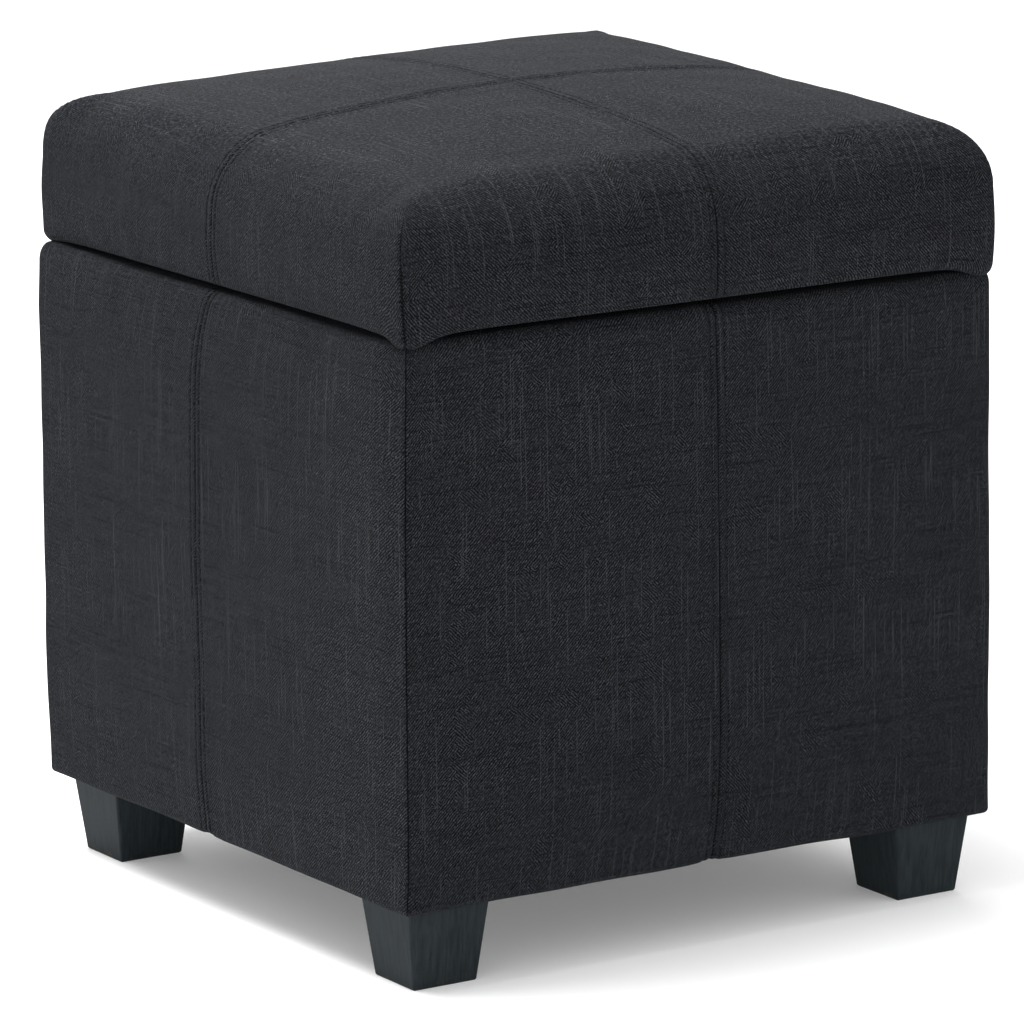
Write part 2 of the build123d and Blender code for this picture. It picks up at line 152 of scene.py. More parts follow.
# ---- mesh helpers ----
def new_object(name, points, faces, smooth=True):
    mesh = bpy.data.meshes.new(name)
    mesh.from_pydata([tuple(point) for point in points], [], faces)
    mesh.validate()
    mesh.update()
    mesh.polygons.foreach_set("use_smooth", [smooth] * len(mesh.polygons))
    obj = bpy.data.objects.new(name, mesh)
    bpy.context.scene.collection.objects.link(obj)
    return obj


def read(elements, name):
    """One three-part property of all the elements of a mesh, a row each."""
    flat = np.zeros(len(elements) * 3)
    elements.foreach_get(name, flat)
    return flat.reshape(-1, 3)


def read_whole(elements, name):
    """One whole-number property of all the elements of a mesh."""
    flat = np.zeros(len(elements), dtype=np.int64)
    elements.foreach_get(name, flat)
    return flat


def normals_of(obj):
    return read(obj.data.vertex_normals, "vector")


def points_of(obj):
    return read(obj.data.vertices, "co")


def set_points(obj, points):
    obj.data.vertices.foreach_set("co", np.asarray(points).ravel())
    obj.data.update()


def set_uv(obj, name, per_vertex, face_offset=None):
    """UV layer from one pair per vertex, with an optional offset per face."""
    values = per_vertex[read_whole(obj.data.loops, "vertex_index")]
    if face_offset is not None:
        values = values + np.repeat(face_offset, read_whole(obj.data.polygons, "loop_total"), axis=0)
    write_uv(obj, name, values)


def write_uv(obj, name, uv):
    layer = obj.data.uv_layers.new(name=name)
    layer.data.foreach_set("uv", uv.astype(np.float32).ravel())


def thicken(obj, thickness, offset=-1.0):
    """Gives a cloth skin its real thickness: on the inside, or on both sides with an offset of 0."""
    solid = obj.modifiers.new("cloth", "SOLIDIFY")
    solid.thickness = thickness
    solid.offset = offset
    bpy.context.view_layer.update()
    evaluated = obj.evaluated_get(bpy.context.evaluated_depsgraph_get())
    mesh = bpy.data.meshes.new_from_object(evaluated, preserve_all_data_layers=True,
                                           depsgraph=bpy.context.evaluated_depsgraph_get())
    obj.modifiers.clear()
    obj.data = mesh


def smooth_noise(points, scale, seed):
    """Gentle seeded noise from a few sine waves, about -1 to 1."""
    rng = np.random.default_rng(seed)
    total = np.zeros(len(points))
    waves = 9
    for _ in range(waves):
        direction = rng.normal(size=3)
        direction *= 2 * math.pi / (scale * rng.uniform(0.7, 1.6)) / np.linalg.norm(direction)
        total += np.sin(points @ direction + rng.uniform(0, 2 * math.pi))
    return total / math.sqrt(waves)


def low_folds(points, parts, seed):
    """Gentle swelling of a stuffed cover, from (height, wavelength) parts."""
    return sum(height * smooth_noise(points, wave, seed + k) for k, (height, wave) in enumerate(parts))


def smoothstep(low, high, value):
    t = np.clip((value - low) / (high - low), 0, 1)
    return t * t * (3 - 2 * t)


def bell(gap, width):
    """1 where there is no gap, fading out to either side within about twice the width."""
    return np.exp(-(gap / width) ** 2)


def quarter_turned(x, y, side):
    """A place on the front, turned to another of the four sides."""
    turn = side * math.pi / 2
    return x * math.cos(turn) - y * math.sin(turn), x * math.sin(turn) + y * math.cos(turn)


# ---- seam section ----
def seam_profile(distance):
    """Height of the cloth beside a topstitched seam: a ditch, two puffed strips, two stitched rows."""
    t = np.abs(distance) / MM
    row = STITCH_ROW / MM
    ditch = -0.95 * bell(t, 0.50)
    strip = 0.30 * bell(t - 0.52 * row, 1.2)
    stitched = -0.40 * bell(t - row, 0.6)
    shoulder = 0.18 * bell(t - row - 2.2, 1.6)
    return (ditch + strip + stitched + shoulder) * MM


def seam_columns():
    """Mesh lines each side of a seam, fine enough to carry its section."""
    near = [0.3, 0.6, 1.0, 1.6, 2.4, 3.3, 4.1, 4.5, 4.8, 5.1, 5.6, 6.4, 7.6, 9.4]
    return mirrored([0.0], near) * MM


def mirrored(middle, positive):
    """Mesh lines through the middle and on both sides of it."""
    return np.array([-value for value in reversed(positive)] + list(middle) + positive)


# ---- skins: a square cap and the loops that hang from its rim ----
def rim_indices(count):
    """Grid indices of the rim, anticlockwise from the first corner, for a count by count grid."""
    last = count - 1
    rim = [(i, 0) for i in range(last)]
    rim += [(last, j) for j in range(last)]
    rim += [(i, last) for i in range(last, 0, -1)]
    rim += [(0, j) for j in range(last, 0, -1)]
    return rim


def grid_faces(count, base=0, flip=False):
    faces = []
    for i in range(count - 1):
        for j in range(count - 1):
            a = base + i * count + j
            face = (a, a + count, a + count + 1, a + 1)
            faces.append(face[::-1] if flip else face)
    return faces


def loop_faces(upper, lower):
    """Quads between two closed loops of vertex numbers, facing out when the loops run anticlockwise."""
    count = len(upper)
    return [(upper[k], lower[k], lower[(k + 1) % count], upper[(k + 1) % count]) for k in range(count)]


def band_faces(loops):
    """Quads between each loop of vertex numbers and the next."""
    return [face for upper, lower in zip(loops, loops[1:]) for face in loop_faces(upper, lower)]


def row_loops(total, row_count):
    """Vertex numbers of each row, for equal rows that follow one another."""
    per_row = total // row_count
    return [list(range(row * per_row, (row + 1) * per_row)) for row in range(row_count)]


def by_level(table, level):
    """Reads a table of (level, value) rows in millimetres, in metres."""
    levels, values = zip(*table)
    return np.interp(level / MM, levels, values) * MM


# ---- materials ----
class Nodes:
    """A short way to write a material's node tree."""

    def __init__(self, name):
        self.material = bpy.data.materials.new(name)
        self.material.use_nodes = True
        self.tree = self.material.node_tree
        self.shader = self.tree.nodes["Principled BSDF"]

    def add(self, kind, **settings):
        node = self.tree.nodes.new(kind)
        for key, value in settings.items():
            setattr(node, key, value)
        return node

    def link(self, source, target):
        if isinstance(source, (int, float, tuple)):
            target.default_value = source
        else:
            self.tree.links.new(source, target)

    def math(self, operation, first, second=0.0, third=0.0, clamp=False):
        node = self.add("ShaderNodeMath", operation=operation, use_clamp=clamp)
        for socket, value in zip(node.inputs, (first, second, third)):
            self.link(value, socket)
        return node.outputs[0]

    def plus(self, first, second):
        return self.math("ADD", first, second)

    def minus(self, first, second):
        return self.math("SUBTRACT", first, second)

    def times(self, first, second):
        return self.math("MULTIPLY", first, second)

    def times_plus(self, first, second, third, clamp=False):
        return self.math("MULTIPLY_ADD", first, second, third, clamp)

    def wave(self, value, factor):
        return self.math("SINE", self.times(value, factor))

    def uv(self, name):
        split = self.add("ShaderNodeSeparateXYZ")
        self.link(self.add("ShaderNodeUVMap", uv_map=name).outputs[0], split.inputs[0])
        return split.outputs[0], split.outputs[1]

    def place(self):
        split = self.add("ShaderNodeSeparateXYZ")
        self.link(self.add("ShaderNodeTexCoord").outputs["Object"], split.inputs[0])
        return split.outputs

    def vector(self, x, y, z=0.0):
        node = self.add("ShaderNodeCombineXYZ")
        for socket, value in zip(node.inputs, (x, y, z)):
            self.link(value, socket)
        return node.outputs[0]

    def stretched(self, parts, factors):
        return self.vector(*(self.times(part, factor) for part, factor in zip(parts, factors)))

    def cells(self, vector, scale):
        node = self.add("ShaderNodeTexVoronoi", feature="F1")
        self.link(vector, node.inputs["Vector"])
        node.inputs["Scale"].default_value = scale
        return node.outputs

    def noise(self, vector, scale=1.0, detail=2.0, roughness=0.5):
        node = self.add("ShaderNodeTexNoise")
        self.link(vector, node.inputs["Vector"])
        node.inputs["Scale"].default_value = scale
        node.inputs["Detail"].default_value = detail
        node.inputs["Roughness"].default_value = roughness
        return node.outputs[0]

    def ramp(self, value, low, high, to_low=0.0, to_high=1.0):
        node = self.add("ShaderNodeMapRange", interpolation_type="SMOOTHSTEP")
        for socket, number in zip(node.inputs, (value, low, high, to_low, to_high)):
            self.link(number, socket)
        return node.outputs[0]

    def mix(self, share, first, second):
        node = self.add("ShaderNodeMix", data_type="RGBA")
        self.link(share, node.inputs["Factor"])
        self.link(first, node.inputs["A"])
        self.link(second, node.inputs["B"])
        return node.outputs["Result"]

    def scale_colour(self, colour, factor):
        node = self.add("ShaderNodeVectorMath", operation="SCALE")
        self.link(colour, node.inputs[0])
        self.link(factor, node.inputs["Scale"])
        return node.outputs[0]

    def colour(self, value):
        self.link(value, self.shader.inputs["Base Color"])

    def roughness(self, value):
        self.link(value, self.shader.inputs["Roughness"])

    def bump(self, height, distance, strength=1.0):
        node = self.add("ShaderNodeBump")
        self.link(height, node.inputs["Height"])
        node.inputs["Distance"].default_value = distance
        node.inputs["Strength"].default_value = strength
        self.link(node.outputs[0], self.shader.inputs["Normal"])

    def set(self, **values):
        for name, value in values.items():
            self.shader.inputs[name.replace("_", " ")].default_value = value


def seam_shade(n):
    """Painted shade in a seam's ditch, along its stitched rows and at the needle holes, and the holes alone.
    """
    offset, run = n.uv("seam")
    ditch = n.ramp(offset, 0.15 * MM, 0.75 * MM, 0.34, 1.0)
    stitched = n.math("GREATER_THAN", run, CORNER_RUN / 2)
    row_gap = n.math("ABSOLUTE", n.minus(offset, STITCH_ROW))
    in_row = n.times(n.ramp(row_gap, 0.25 * MM, 0.8 * MM, 1.0, 0.0), stitched)
    phase = n.math("PINGPONG", run, STITCH_PITCH / 2)
    hole = n.times(in_row, n.ramp(phase, 0.4 * MM, 1.0 * MM, 1.0, 0.0))
    shade = n.times(ditch, n.times_plus(hole, -0.55, 1.0))
    return n.times(shade, n.times_plus(in_row, -0.32, 1.0)), hole


def cloth_material():
    """Charcoal linen-look cloth: a broken twill of uneven yarns with slubs, with painted shade in its seams.
    """
    n = Nodes("charcoal_linen_cloth")
    u, v = n.uv("weave")
    across = n.math("DIVIDE", u, YARN)
    along = n.math("DIVIDE", v, YARN)
    wobble = n.noise(n.vector(across, along), scale=0.05, detail=2)
    across = n.times_plus(wobble, 0.8, across)
    along = n.times_plus(wobble, -0.8, along)
    warp_number = n.math("FLOOR", across)
    weft_number = n.math("FLOOR", along)
    warp_round = n.wave(n.math("FRACT", across), math.pi)
    weft_round = n.wave(n.math("FRACT", along), math.pi)

    # which yarn lies on top: diagonals that turn over in patches and break now and then
    patch = n.noise(n.vector(u, v, 1.0), scale=42.0, detail=3)
    turn = n.times_plus(n.math("GREATER_THAN", patch, 0.60), -2.0, 1.0)
    breaks = n.noise(n.vector(n.times(warp_number, 0.08), n.times(weft_number, 0.11), 4.0), detail=1)
    step = n.math("FLOOR", n.times(breaks, 4.0))
    diagonal = n.plus(n.times_plus(turn, weft_number, warp_number), step)
    warp_on_top = n.math("LESS_THAN", n.math("FRACT", n.math("DIVIDE", diagonal, 4.0)), 0.5)
    clear = n.noise(n.vector(u, v, 7.0), scale=60.0, detail=2)
    contrast = n.ramp(clear, 0.32, 0.55, 0.5, 1.0)

    warp_slub = n.noise(n.vector(n.times(warp_number, 1.73), n.times(along, 0.0055)), detail=1)
    weft_slub = n.noise(n.vector(n.times(across, 0.0075), n.times(weft_number, 1.61), 9.0), detail=1)
    bright_warp = n.ramp(warp_slub, 0.66, 0.69)
    dots = n.noise(n.vector(warp_number, n.times(along, 0.45), 2.0), detail=0)
    bright_warp = n.times(bright_warp, n.ramp(dots, 0.35, 0.60, 0.25, 1.0))
    # the lid's left and right sides show the slubs of the other yarns, which run up them
    x, y, z = n.place()
    wide, deep = n.math("ABSOLUTE", x), n.math("ABSOLUTE", y)
    lid_side = n.times(n.ramp(wide, 186 * MM, 192 * MM), n.ramp(z, 373.0 * MM, 373.6 * MM))
    lid_side = n.times(lid_side, n.math("GREATER_THAN", wide, deep))
    weft_dots = n.noise(n.vector(n.times(across, 0.45), weft_number, 6.0), detail=0)
    bright_weft = n.times(n.ramp(weft_slub, 0.65, 0.68), n.ramp(weft_dots, 0.35, 0.60, 0.25, 1.0))
    slub = n.plus(n.times(bright_warp, n.minus(1.0, lid_side)), n.times(bright_weft, lid_side))
    dark_weft = n.ramp(weft_slub, 0.62, 0.68)
    pale_weft = n.ramp(weft_slub, 0.42, 0.30)

    base = n.times_plus(n.minus(warp_on_top, 0.5), contrast, 0.5)
    face = n.mix(base, WEFT_COLOUR, WARP_COLOUR)
    rounding = n.plus(n.times(warp_on_top, warp_round), n.times(n.minus(1.0, warp_on_top), weft_round))
    # the rounding also paints shade into the colour: each yarn lighter on its crest, darker at its sides
    level = n.times_plus(rounding, 0.6, 0.62)
    level = n.times_plus(n.minus(warp_slub, 0.5), 0.6, level)
    level = n.times_plus(pale_weft, 0.35, level)
    level = n.times(level, n.times_plus(dark_weft, -0.50, 1.0))
    flecks = n.noise(n.vector(across, along, 5.0), scale=0.45, detail=2)
    level = n.times(level, n.ramp(flecks, 0.28, 0.72, 0.46, 1.54))
    cloud = n.noise(n.vector(u, v, 3.0), scale=24.0, detail=3)
    level = n.times(level, n.times_plus(cloud, 0.30, 0.85))
    mottle = n.noise(n.vector(u, v, 8.0), scale=620.0, detail=1)
    level = n.times(level, n.ramp(mottle, 0.30, 0.70, 0.62, 1.38))
    # painted highlights and shade on the top only: its yarns' glints in a grazing view, drawn as coarser
    # light and dark specks
    top_glint_mask = n.ramp(z, 440 * MM, 458 * MM)
    painted_glint_specks = n.minus(n.noise(n.vector(u, v, 12.0), scale=440.0, detail=2), 0.5)
    level = n.times(level, n.times_plus(n.times(painted_glint_specks, top_glint_mask), 4.0, 1.0))
    shade, hole = seam_shade(n)
    woven = n.mix(n.times(slub, 0.55), n.scale_colour(face, level), SLUB_COLOUR)
    # the woven colour is darkened by the seams' painted shade
    n.colour(n.scale_colour(woven, shade))

    height = n.times_plus(n.times(warp_on_top, contrast), 0.5, rounding)
    height = n.times_plus(slub, 0.4, height)
    height = n.times_plus(hole, -2.5, height)
    n.bump(n.times_plus(flecks, 0.6, height), 0.16 * MM, 0.7)
    n.roughness(n.times_plus(rounding, -0.08, 0.90))
    n.set(Sheen_Weight=0.010, Sheen_Roughness=0.45, Sheen_Tint=(0.80, 0.90, 1.0, 1), Specular_IOR_Level=0.06)
    return n.material


def thread_material():
    """Charcoal sewing thread, twisted."""
    n = Nodes("charcoal_thread")
    x, y, z = n.place()
    twist = n.wave(n.plus(n.plus(x, y), z), 9000.0)
    shade = n.times_plus(twist, 0.5, 0.5)
    n.colour(n.mix(shade, (0.006, 0.0065, 0.0075, 1), (0.016, 0.017, 0.020, 1)))
    n.bump(twist, 0.08 * MM, 0.6)
    n.set(Roughness=0.65, Specular_IOR_Level=0.12)
    return n.material


def lining_material():
    """Thin black plain-woven polyester lining, faintly streaked."""
    n = Nodes("black_lining_cloth")
    u, v = n.uv("weave")
    across, along = n.math("DIVIDE", u, 0.9 * MM), n.math("DIVIDE", v, 0.9 * MM)
    crossing = n.times(n.wave(across, math.pi), n.wave(along, math.pi))
    streak = n.noise(n.stretched((across, along), (0.7, 0.02)), detail=2)
    crease = n.noise(n.vector(u, v), scale=14.0, detail=4)
    # painted shade: the weave's crossings drawn light and dark, the creases lighter on their ridges and
    # darker in their hollows
    face = n.times_plus(crossing, 0.25, n.times_plus(streak, 0.6, 0.1), clamp=True)
    face = n.times_plus(crease, 0.2, face)
    n.colour(n.mix(face, (0.008, 0.008, 0.009, 1), (0.030, 0.030, 0.033, 1)))
    n.bump(n.times_plus(crease, 6.0, crossing), 0.12 * MM, 0.6)
    n.roughness(n.times_plus(crossing, 0.08, 0.62))
    n.set(Sheen_Weight=0.15, Sheen_Roughness=0.4, Specular_IOR_Level=0.3)
    return n.material


def dust_material():
    """Black spun-bonded dust cloth with its grid of small bonded diamonds."""
    n = Nodes("black_spunbond")
    u, v = n.uv("weave")
    diamond_u = n.math("PINGPONG", n.plus(u, v), 1.1 * MM)
    diamond_v = n.math("PINGPONG", n.minus(u, v), 1.1 * MM)
    bond = n.times(n.ramp(diamond_u, 0.5 * MM, 0.8 * MM), n.ramp(diamond_v, 0.5 * MM, 0.8 * MM))
    fibres = n.noise(n.stretched((u, v), (900.0, 2600.0)), detail=3)
    cloud = n.noise(n.vector(u, v), scale=40.0, detail=4)
    face = n.times_plus(bond, 0.4, n.times_plus(fibres, 0.5, n.times(cloud, 0.3)))
    n.colour(n.mix(face, (0.006, 0.006, 0.006, 1), (0.030, 0.030, 0.031, 1)))
    n.bump(n.times_plus(bond, -1.0, n.times(fibres, 0.7)), 0.10 * MM, 0.7)
    n.roughness(n.times_plus(bond, -0.25, 0.85))
    n.set(Specular_IOR_Level=0.25)
    return n.material


def foam_material():
    """Cut polyurethane foam with open cells, yellowed a little."""
    n = Nodes("upholstery_foam")
    x, y, z = n.place()
    where = n.vector(x, y, z)
    distance = n.cells(where, 620.0)["Distance"]
    cloud = n.noise(where, scale=18.0, detail=3)
    colour = n.mix(cloud, (0.62, 0.55, 0.36, 1), (0.78, 0.74, 0.58, 1))
    # painted shade: the open cells darker towards their hollow middles
    n.colour(n.scale_colour(colour, n.ramp(distance, 0.1, 0.7, 0.65, 1.05)))
    n.bump(distance, 0.6 * MM, 0.8)
    n.roughness(n.ramp(distance, 0.1, 0.7, 0.95, 0.8))
    n.set(Subsurface_Weight=0.08, Subsurface_Scale=0.004, Specular_IOR_Level=0.2)
    return n.material


def batting_material():
    """White polyester batting, matted fibres."""
    n = Nodes("polyester_batting")
    x, y, z = n.place()
    fibres = n.noise(n.stretched((x, y, z), (160.0, 900.0, 500.0)), detail=5, roughness=0.7)
    tufts = n.noise(n.vector(x, y, z), scale=70.0, detail=4)
    face = n.times_plus(fibres, 0.6, n.times(tufts, 0.5))
    n.colour(n.mix(face, (0.66, 0.66, 0.65, 1), (0.86, 0.86, 0.84, 1)))
    n.bump(face, 1.0 * MM, 0.8)
    n.roughness(n.times_plus(fibres, 0.1, 0.88))
    n.set(Sheen_Weight=0.2, Specular_IOR_Level=0.2)
    return n.material


def board_material():
    """Furniture board: pale pressed strands with darker flecks."""
    n = Nodes("furniture_board")
    x, y, z = n.place()
    where = n.vector(x, y, z)
    strands = n.noise(n.stretched((x, y, z), (420.0, 160.0, 520.0)), detail=4, roughness=0.65)
    chip = n.add("ShaderNodeSeparateColor")
    n.link(n.cells(where, 300.0)["Color"], chip.inputs[0])
    face = n.times_plus(strands, 0.6, n.times(chip.outputs[0], 0.4))
    n.colour(n.mix(face, (0.24, 0.145, 0.07, 1), (0.56, 0.40, 0.23, 1)))
    n.bump(face, 0.25 * MM, 0.6)
    n.roughness(n.times_plus(strands, 0.2, 0.62))
    return n.material


def wood_material():
    """Black-stained wood: fine upright grain, open pores, a little rubbed at its lower edges."""
    n = Nodes("black_stained_wood")
    x, y, z = n.place()
    bend = n.noise(n.vector(x, y, n.times(z, 0.4)), scale=30.0, detail=2)
    bent = n.vector(n.times_plus(bend, 1.6, n.times(x, 420.0)), n.times(y, 420.0), n.times(z, 16.0))
    grain = n.noise(bent, detail=4, roughness=0.6)
    pores = n.noise(n.stretched((x, y, z), (1900.0, 1900.0, 70.0)), detail=1)
    pore = n.ramp(pores, 0.62, 0.72)
    stain = n.mix(n.ramp(grain, 0.3, 0.7), (0.0120, 0.0160, 0.0180, 1), (0.0205, 0.0270, 0.0300, 1))
    stain = n.scale_colour(stain, n.times_plus(pore, -0.3, 1.0))
    rub = n.noise(n.vector(x, y, z), scale=110.0, detail=4, roughness=0.7)
    low = n.ramp(z, 0.2 * MM, 6.0 * MM, 1.0, 0.0)
    worn = n.times(low, n.ramp(rub, 0.54, 0.66))
    n.colour(n.mix(n.times(worn, 0.7), stain, (0.060, 0.042, 0.026, 1)))
    n.bump(n.times_plus(pore, -1.0, grain), 0.10 * MM, 0.5)
    n.roughness(n.times_plus(grain, 0.22, 0.42))
    n.set(Specular_IOR_Level=0.06)
    return n.material


def steel_material(name, colour, roughness, brush):
    """Plated steel: rolled or brushed lines, faint blotches and dull marks."""
    n = Nodes(name)
    x, y, z = n.place()
    lines = n.noise(n.stretched((x, y, z), brush), detail=3)
    blotch = n.noise(n.vector(x, y, z), scale=160.0, detail=4)
    dull = n.mix(n.ramp(blotch, 0.3, 0.7), tuple(0.78 * part for part in colour[:3]) + (1,), colour)
    n.colour(n.scale_colour(dull, n.times_plus(lines, 0.3, 0.85)))
    n.bump(lines, 0.05 * MM, 0.35)
    n.roughness(n.times_plus(blotch, 0.22, roughness))
    n.set(Metallic=1.0)
    return n.material


def finish_cad_nodes():
    """Gives the carried-over CAD nodes their materials, by material slot."""
    finishes = {"foot_wood": wood_material(), "sheet_board": board_material()}
    finishes.update({slot: steel_material(*values) for slot, values in STEELS.items()})
    for obj in bpy.context.scene.objects:
        if "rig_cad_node" not in obj:
            continue
        for slot in obj.material_slots:
            name = slot.material.name.split(".")[0] if slot.material else ""
            if name in finishes:
                slot.material = finishes[name]


# ---- lid ----
def lid_lines():
    """Nominal mesh lines across the lid, fine at its edges and at the middle seam."""
    flat = LID_HALF - LID_ROLL
    turns = list(np.linspace(0, 84, 15)) + [87, 88.7, 90]
    roll = [flat + LID_ROLL * math.sin(math.radians(angle)) for angle in turns]
    middle = seam_columns()
    between = np.linspace(middle[-1], flat, 40)[1:-1]
    return mirrored(middle, list(between) + roll)


def near_corner(points, half):
    """1 at the corners of a square, fading out over a few centimetres of its sides."""
    gap = np.hypot(half - np.abs(points[:, 0]), half - np.abs(points[:, 1]))
    return bell(gap, PARTING_CORNER)


def lid_lean(points):
    """The lid sits a little to the right, its front left corner seam the more so the lower it is."""
    near = np.hypot(points[:, 0] + LID_HALF, points[:, 1] + LID_HALF)
    lean = np.zeros_like(points)
    lean[:, 0] = LID_SHIFT + bell(near, 18 * MM) * by_level(
        ((373, 3.4), (395, 2.2), (430, 0.6), (450, 0)), points[:, 2])
    return lean


def lid_seam_shift(along, first, last):
    """How far a top seam wanders sideways, towards each of its two ends."""
    t = along / LID_HALF
    return np.where(t < 0, first * smoothstep(0.0, 1.0, -t), last * smoothstep(0.0, 1.0, t))


def lid_crown(x, y):
    fall, corner, edge = LID_CROWN
    across, along = (x / LID_HALF) ** 2, (y / LID_HALF) ** 2
    bowl = fall * (across + along) - corner * across * along - edge * (across ** 2 + along ** 2)
    return LID_TOP - bowl * LID_HALF ** 2 + LID_LEAN[0] * x + LID_LEAN[1] * y


def into_roll(x0, y0):
    """How far a nominal place lies within the lid's edge roll, in x and in y."""
    flat = LID_HALF - LID_ROLL
    return np.clip(np.abs(x0) - flat, 0, None), np.clip(np.abs(y0) - flat, 0, None)


def lid_plan(x0, y0):
    """Rounded plan of the lid: a nominal grid point's place and its level in the edge roll."""
    flat = LID_HALF - LID_ROLL
    p, q = into_roll(x0, y0)
    level = np.maximum(p, q)
    power = 4.5 + 14.0 * (level / LID_ROLL) ** 2
    ring = (p ** power + q ** power) ** (1 / power)
    shrink = np.where(level > 1e-9, level / np.maximum(ring, 1e-9), 1.0)
    x = np.sign(x0) * (np.minimum(np.abs(x0), flat) + p * shrink)
    y = np.sign(y0) * (np.minimum(np.abs(y0), flat) + q * shrink)
    return x, y, level


def roll_fall(x0, y0, level):
    """How far the edge roll has fallen, fuller where two edges meet."""
    p, q = into_roll(x0, y0)
    fullness = 0.65 + 0.35 * (y0 - x0) / (2 * LID_HALF)
    power = 2.0 + fullness * np.minimum(p, q) / np.maximum(level, 1e-6)
    share = np.clip(level / LID_ROLL, 0, 1)
    return LID_ROLL * (1 - (1 - share ** power) ** (1 / power))


def lid_skirt(rim_points):
    """Rings of points from the cap's rim down the sides, round the lip and in under the lid."""
    side_bottom = LID_BOTTOM + LID_EDGE_RISE + LID_LIP[1]
    path = []
    for row in range(1, LID_SIDE_ROWS + 1):
        share = row / LID_SIDE_ROWS
        path.append((rim_points[:, 2] * (1 - share) + side_bottom * share,
                     0.6 * MM * math.sin(math.pi * share)))
    for angle in np.linspace(0, 90, 9)[1:]:
        turn = math.radians(angle)
        path.append((side_bottom - LID_LIP[1] * math.sin(turn), -LID_LIP[0] * (1 - math.cos(turn))))
    for inset, rise in LID_UNDER:
        path.append((LID_BOTTOM + rise * LID_EDGE_RISE, -inset * MM))
    closed = near_corner(rim_points, LID_HALF)
    skirt = []
    for level, out in path:
        ring = rim_points.copy()
        ring[:, 2] = level
        ring[:, 2] -= closed * LID_EDGE_RISE * smoothstep(-12 * MM, -7 * MM, out) * smoothstep(
            side_bottom + 12 * MM, side_bottom, ring[:, 2])
        ring[:, :2] *= 1 + out / LID_HALF
        skirt.append(ring)
    return skirt


def lid_stitch_rows(lines, loops):
    """Vertex numbers along each stitched row: up one side, over the top and down the other side."""
    count = len(lines)
    last = count - 1
    order = rim_indices(count)
    rows = []
    for side in (-1, 1):
        index = int(np.argmin(np.abs(lines - side * STITCH_ROW)))
        for ends, over in (
                (((index, 0), (index, last)), [index * count + j for j in range(count)]),
                (((0, index), (last, index)), [i * count + index for i in range(count)])):
            up, down = ([loop[order.index(end)] for loop in loops[1:LID_SIDE_ROWS + 1]] for end in ends)
            rows.append(up[::-1] + over + down)
    return rows


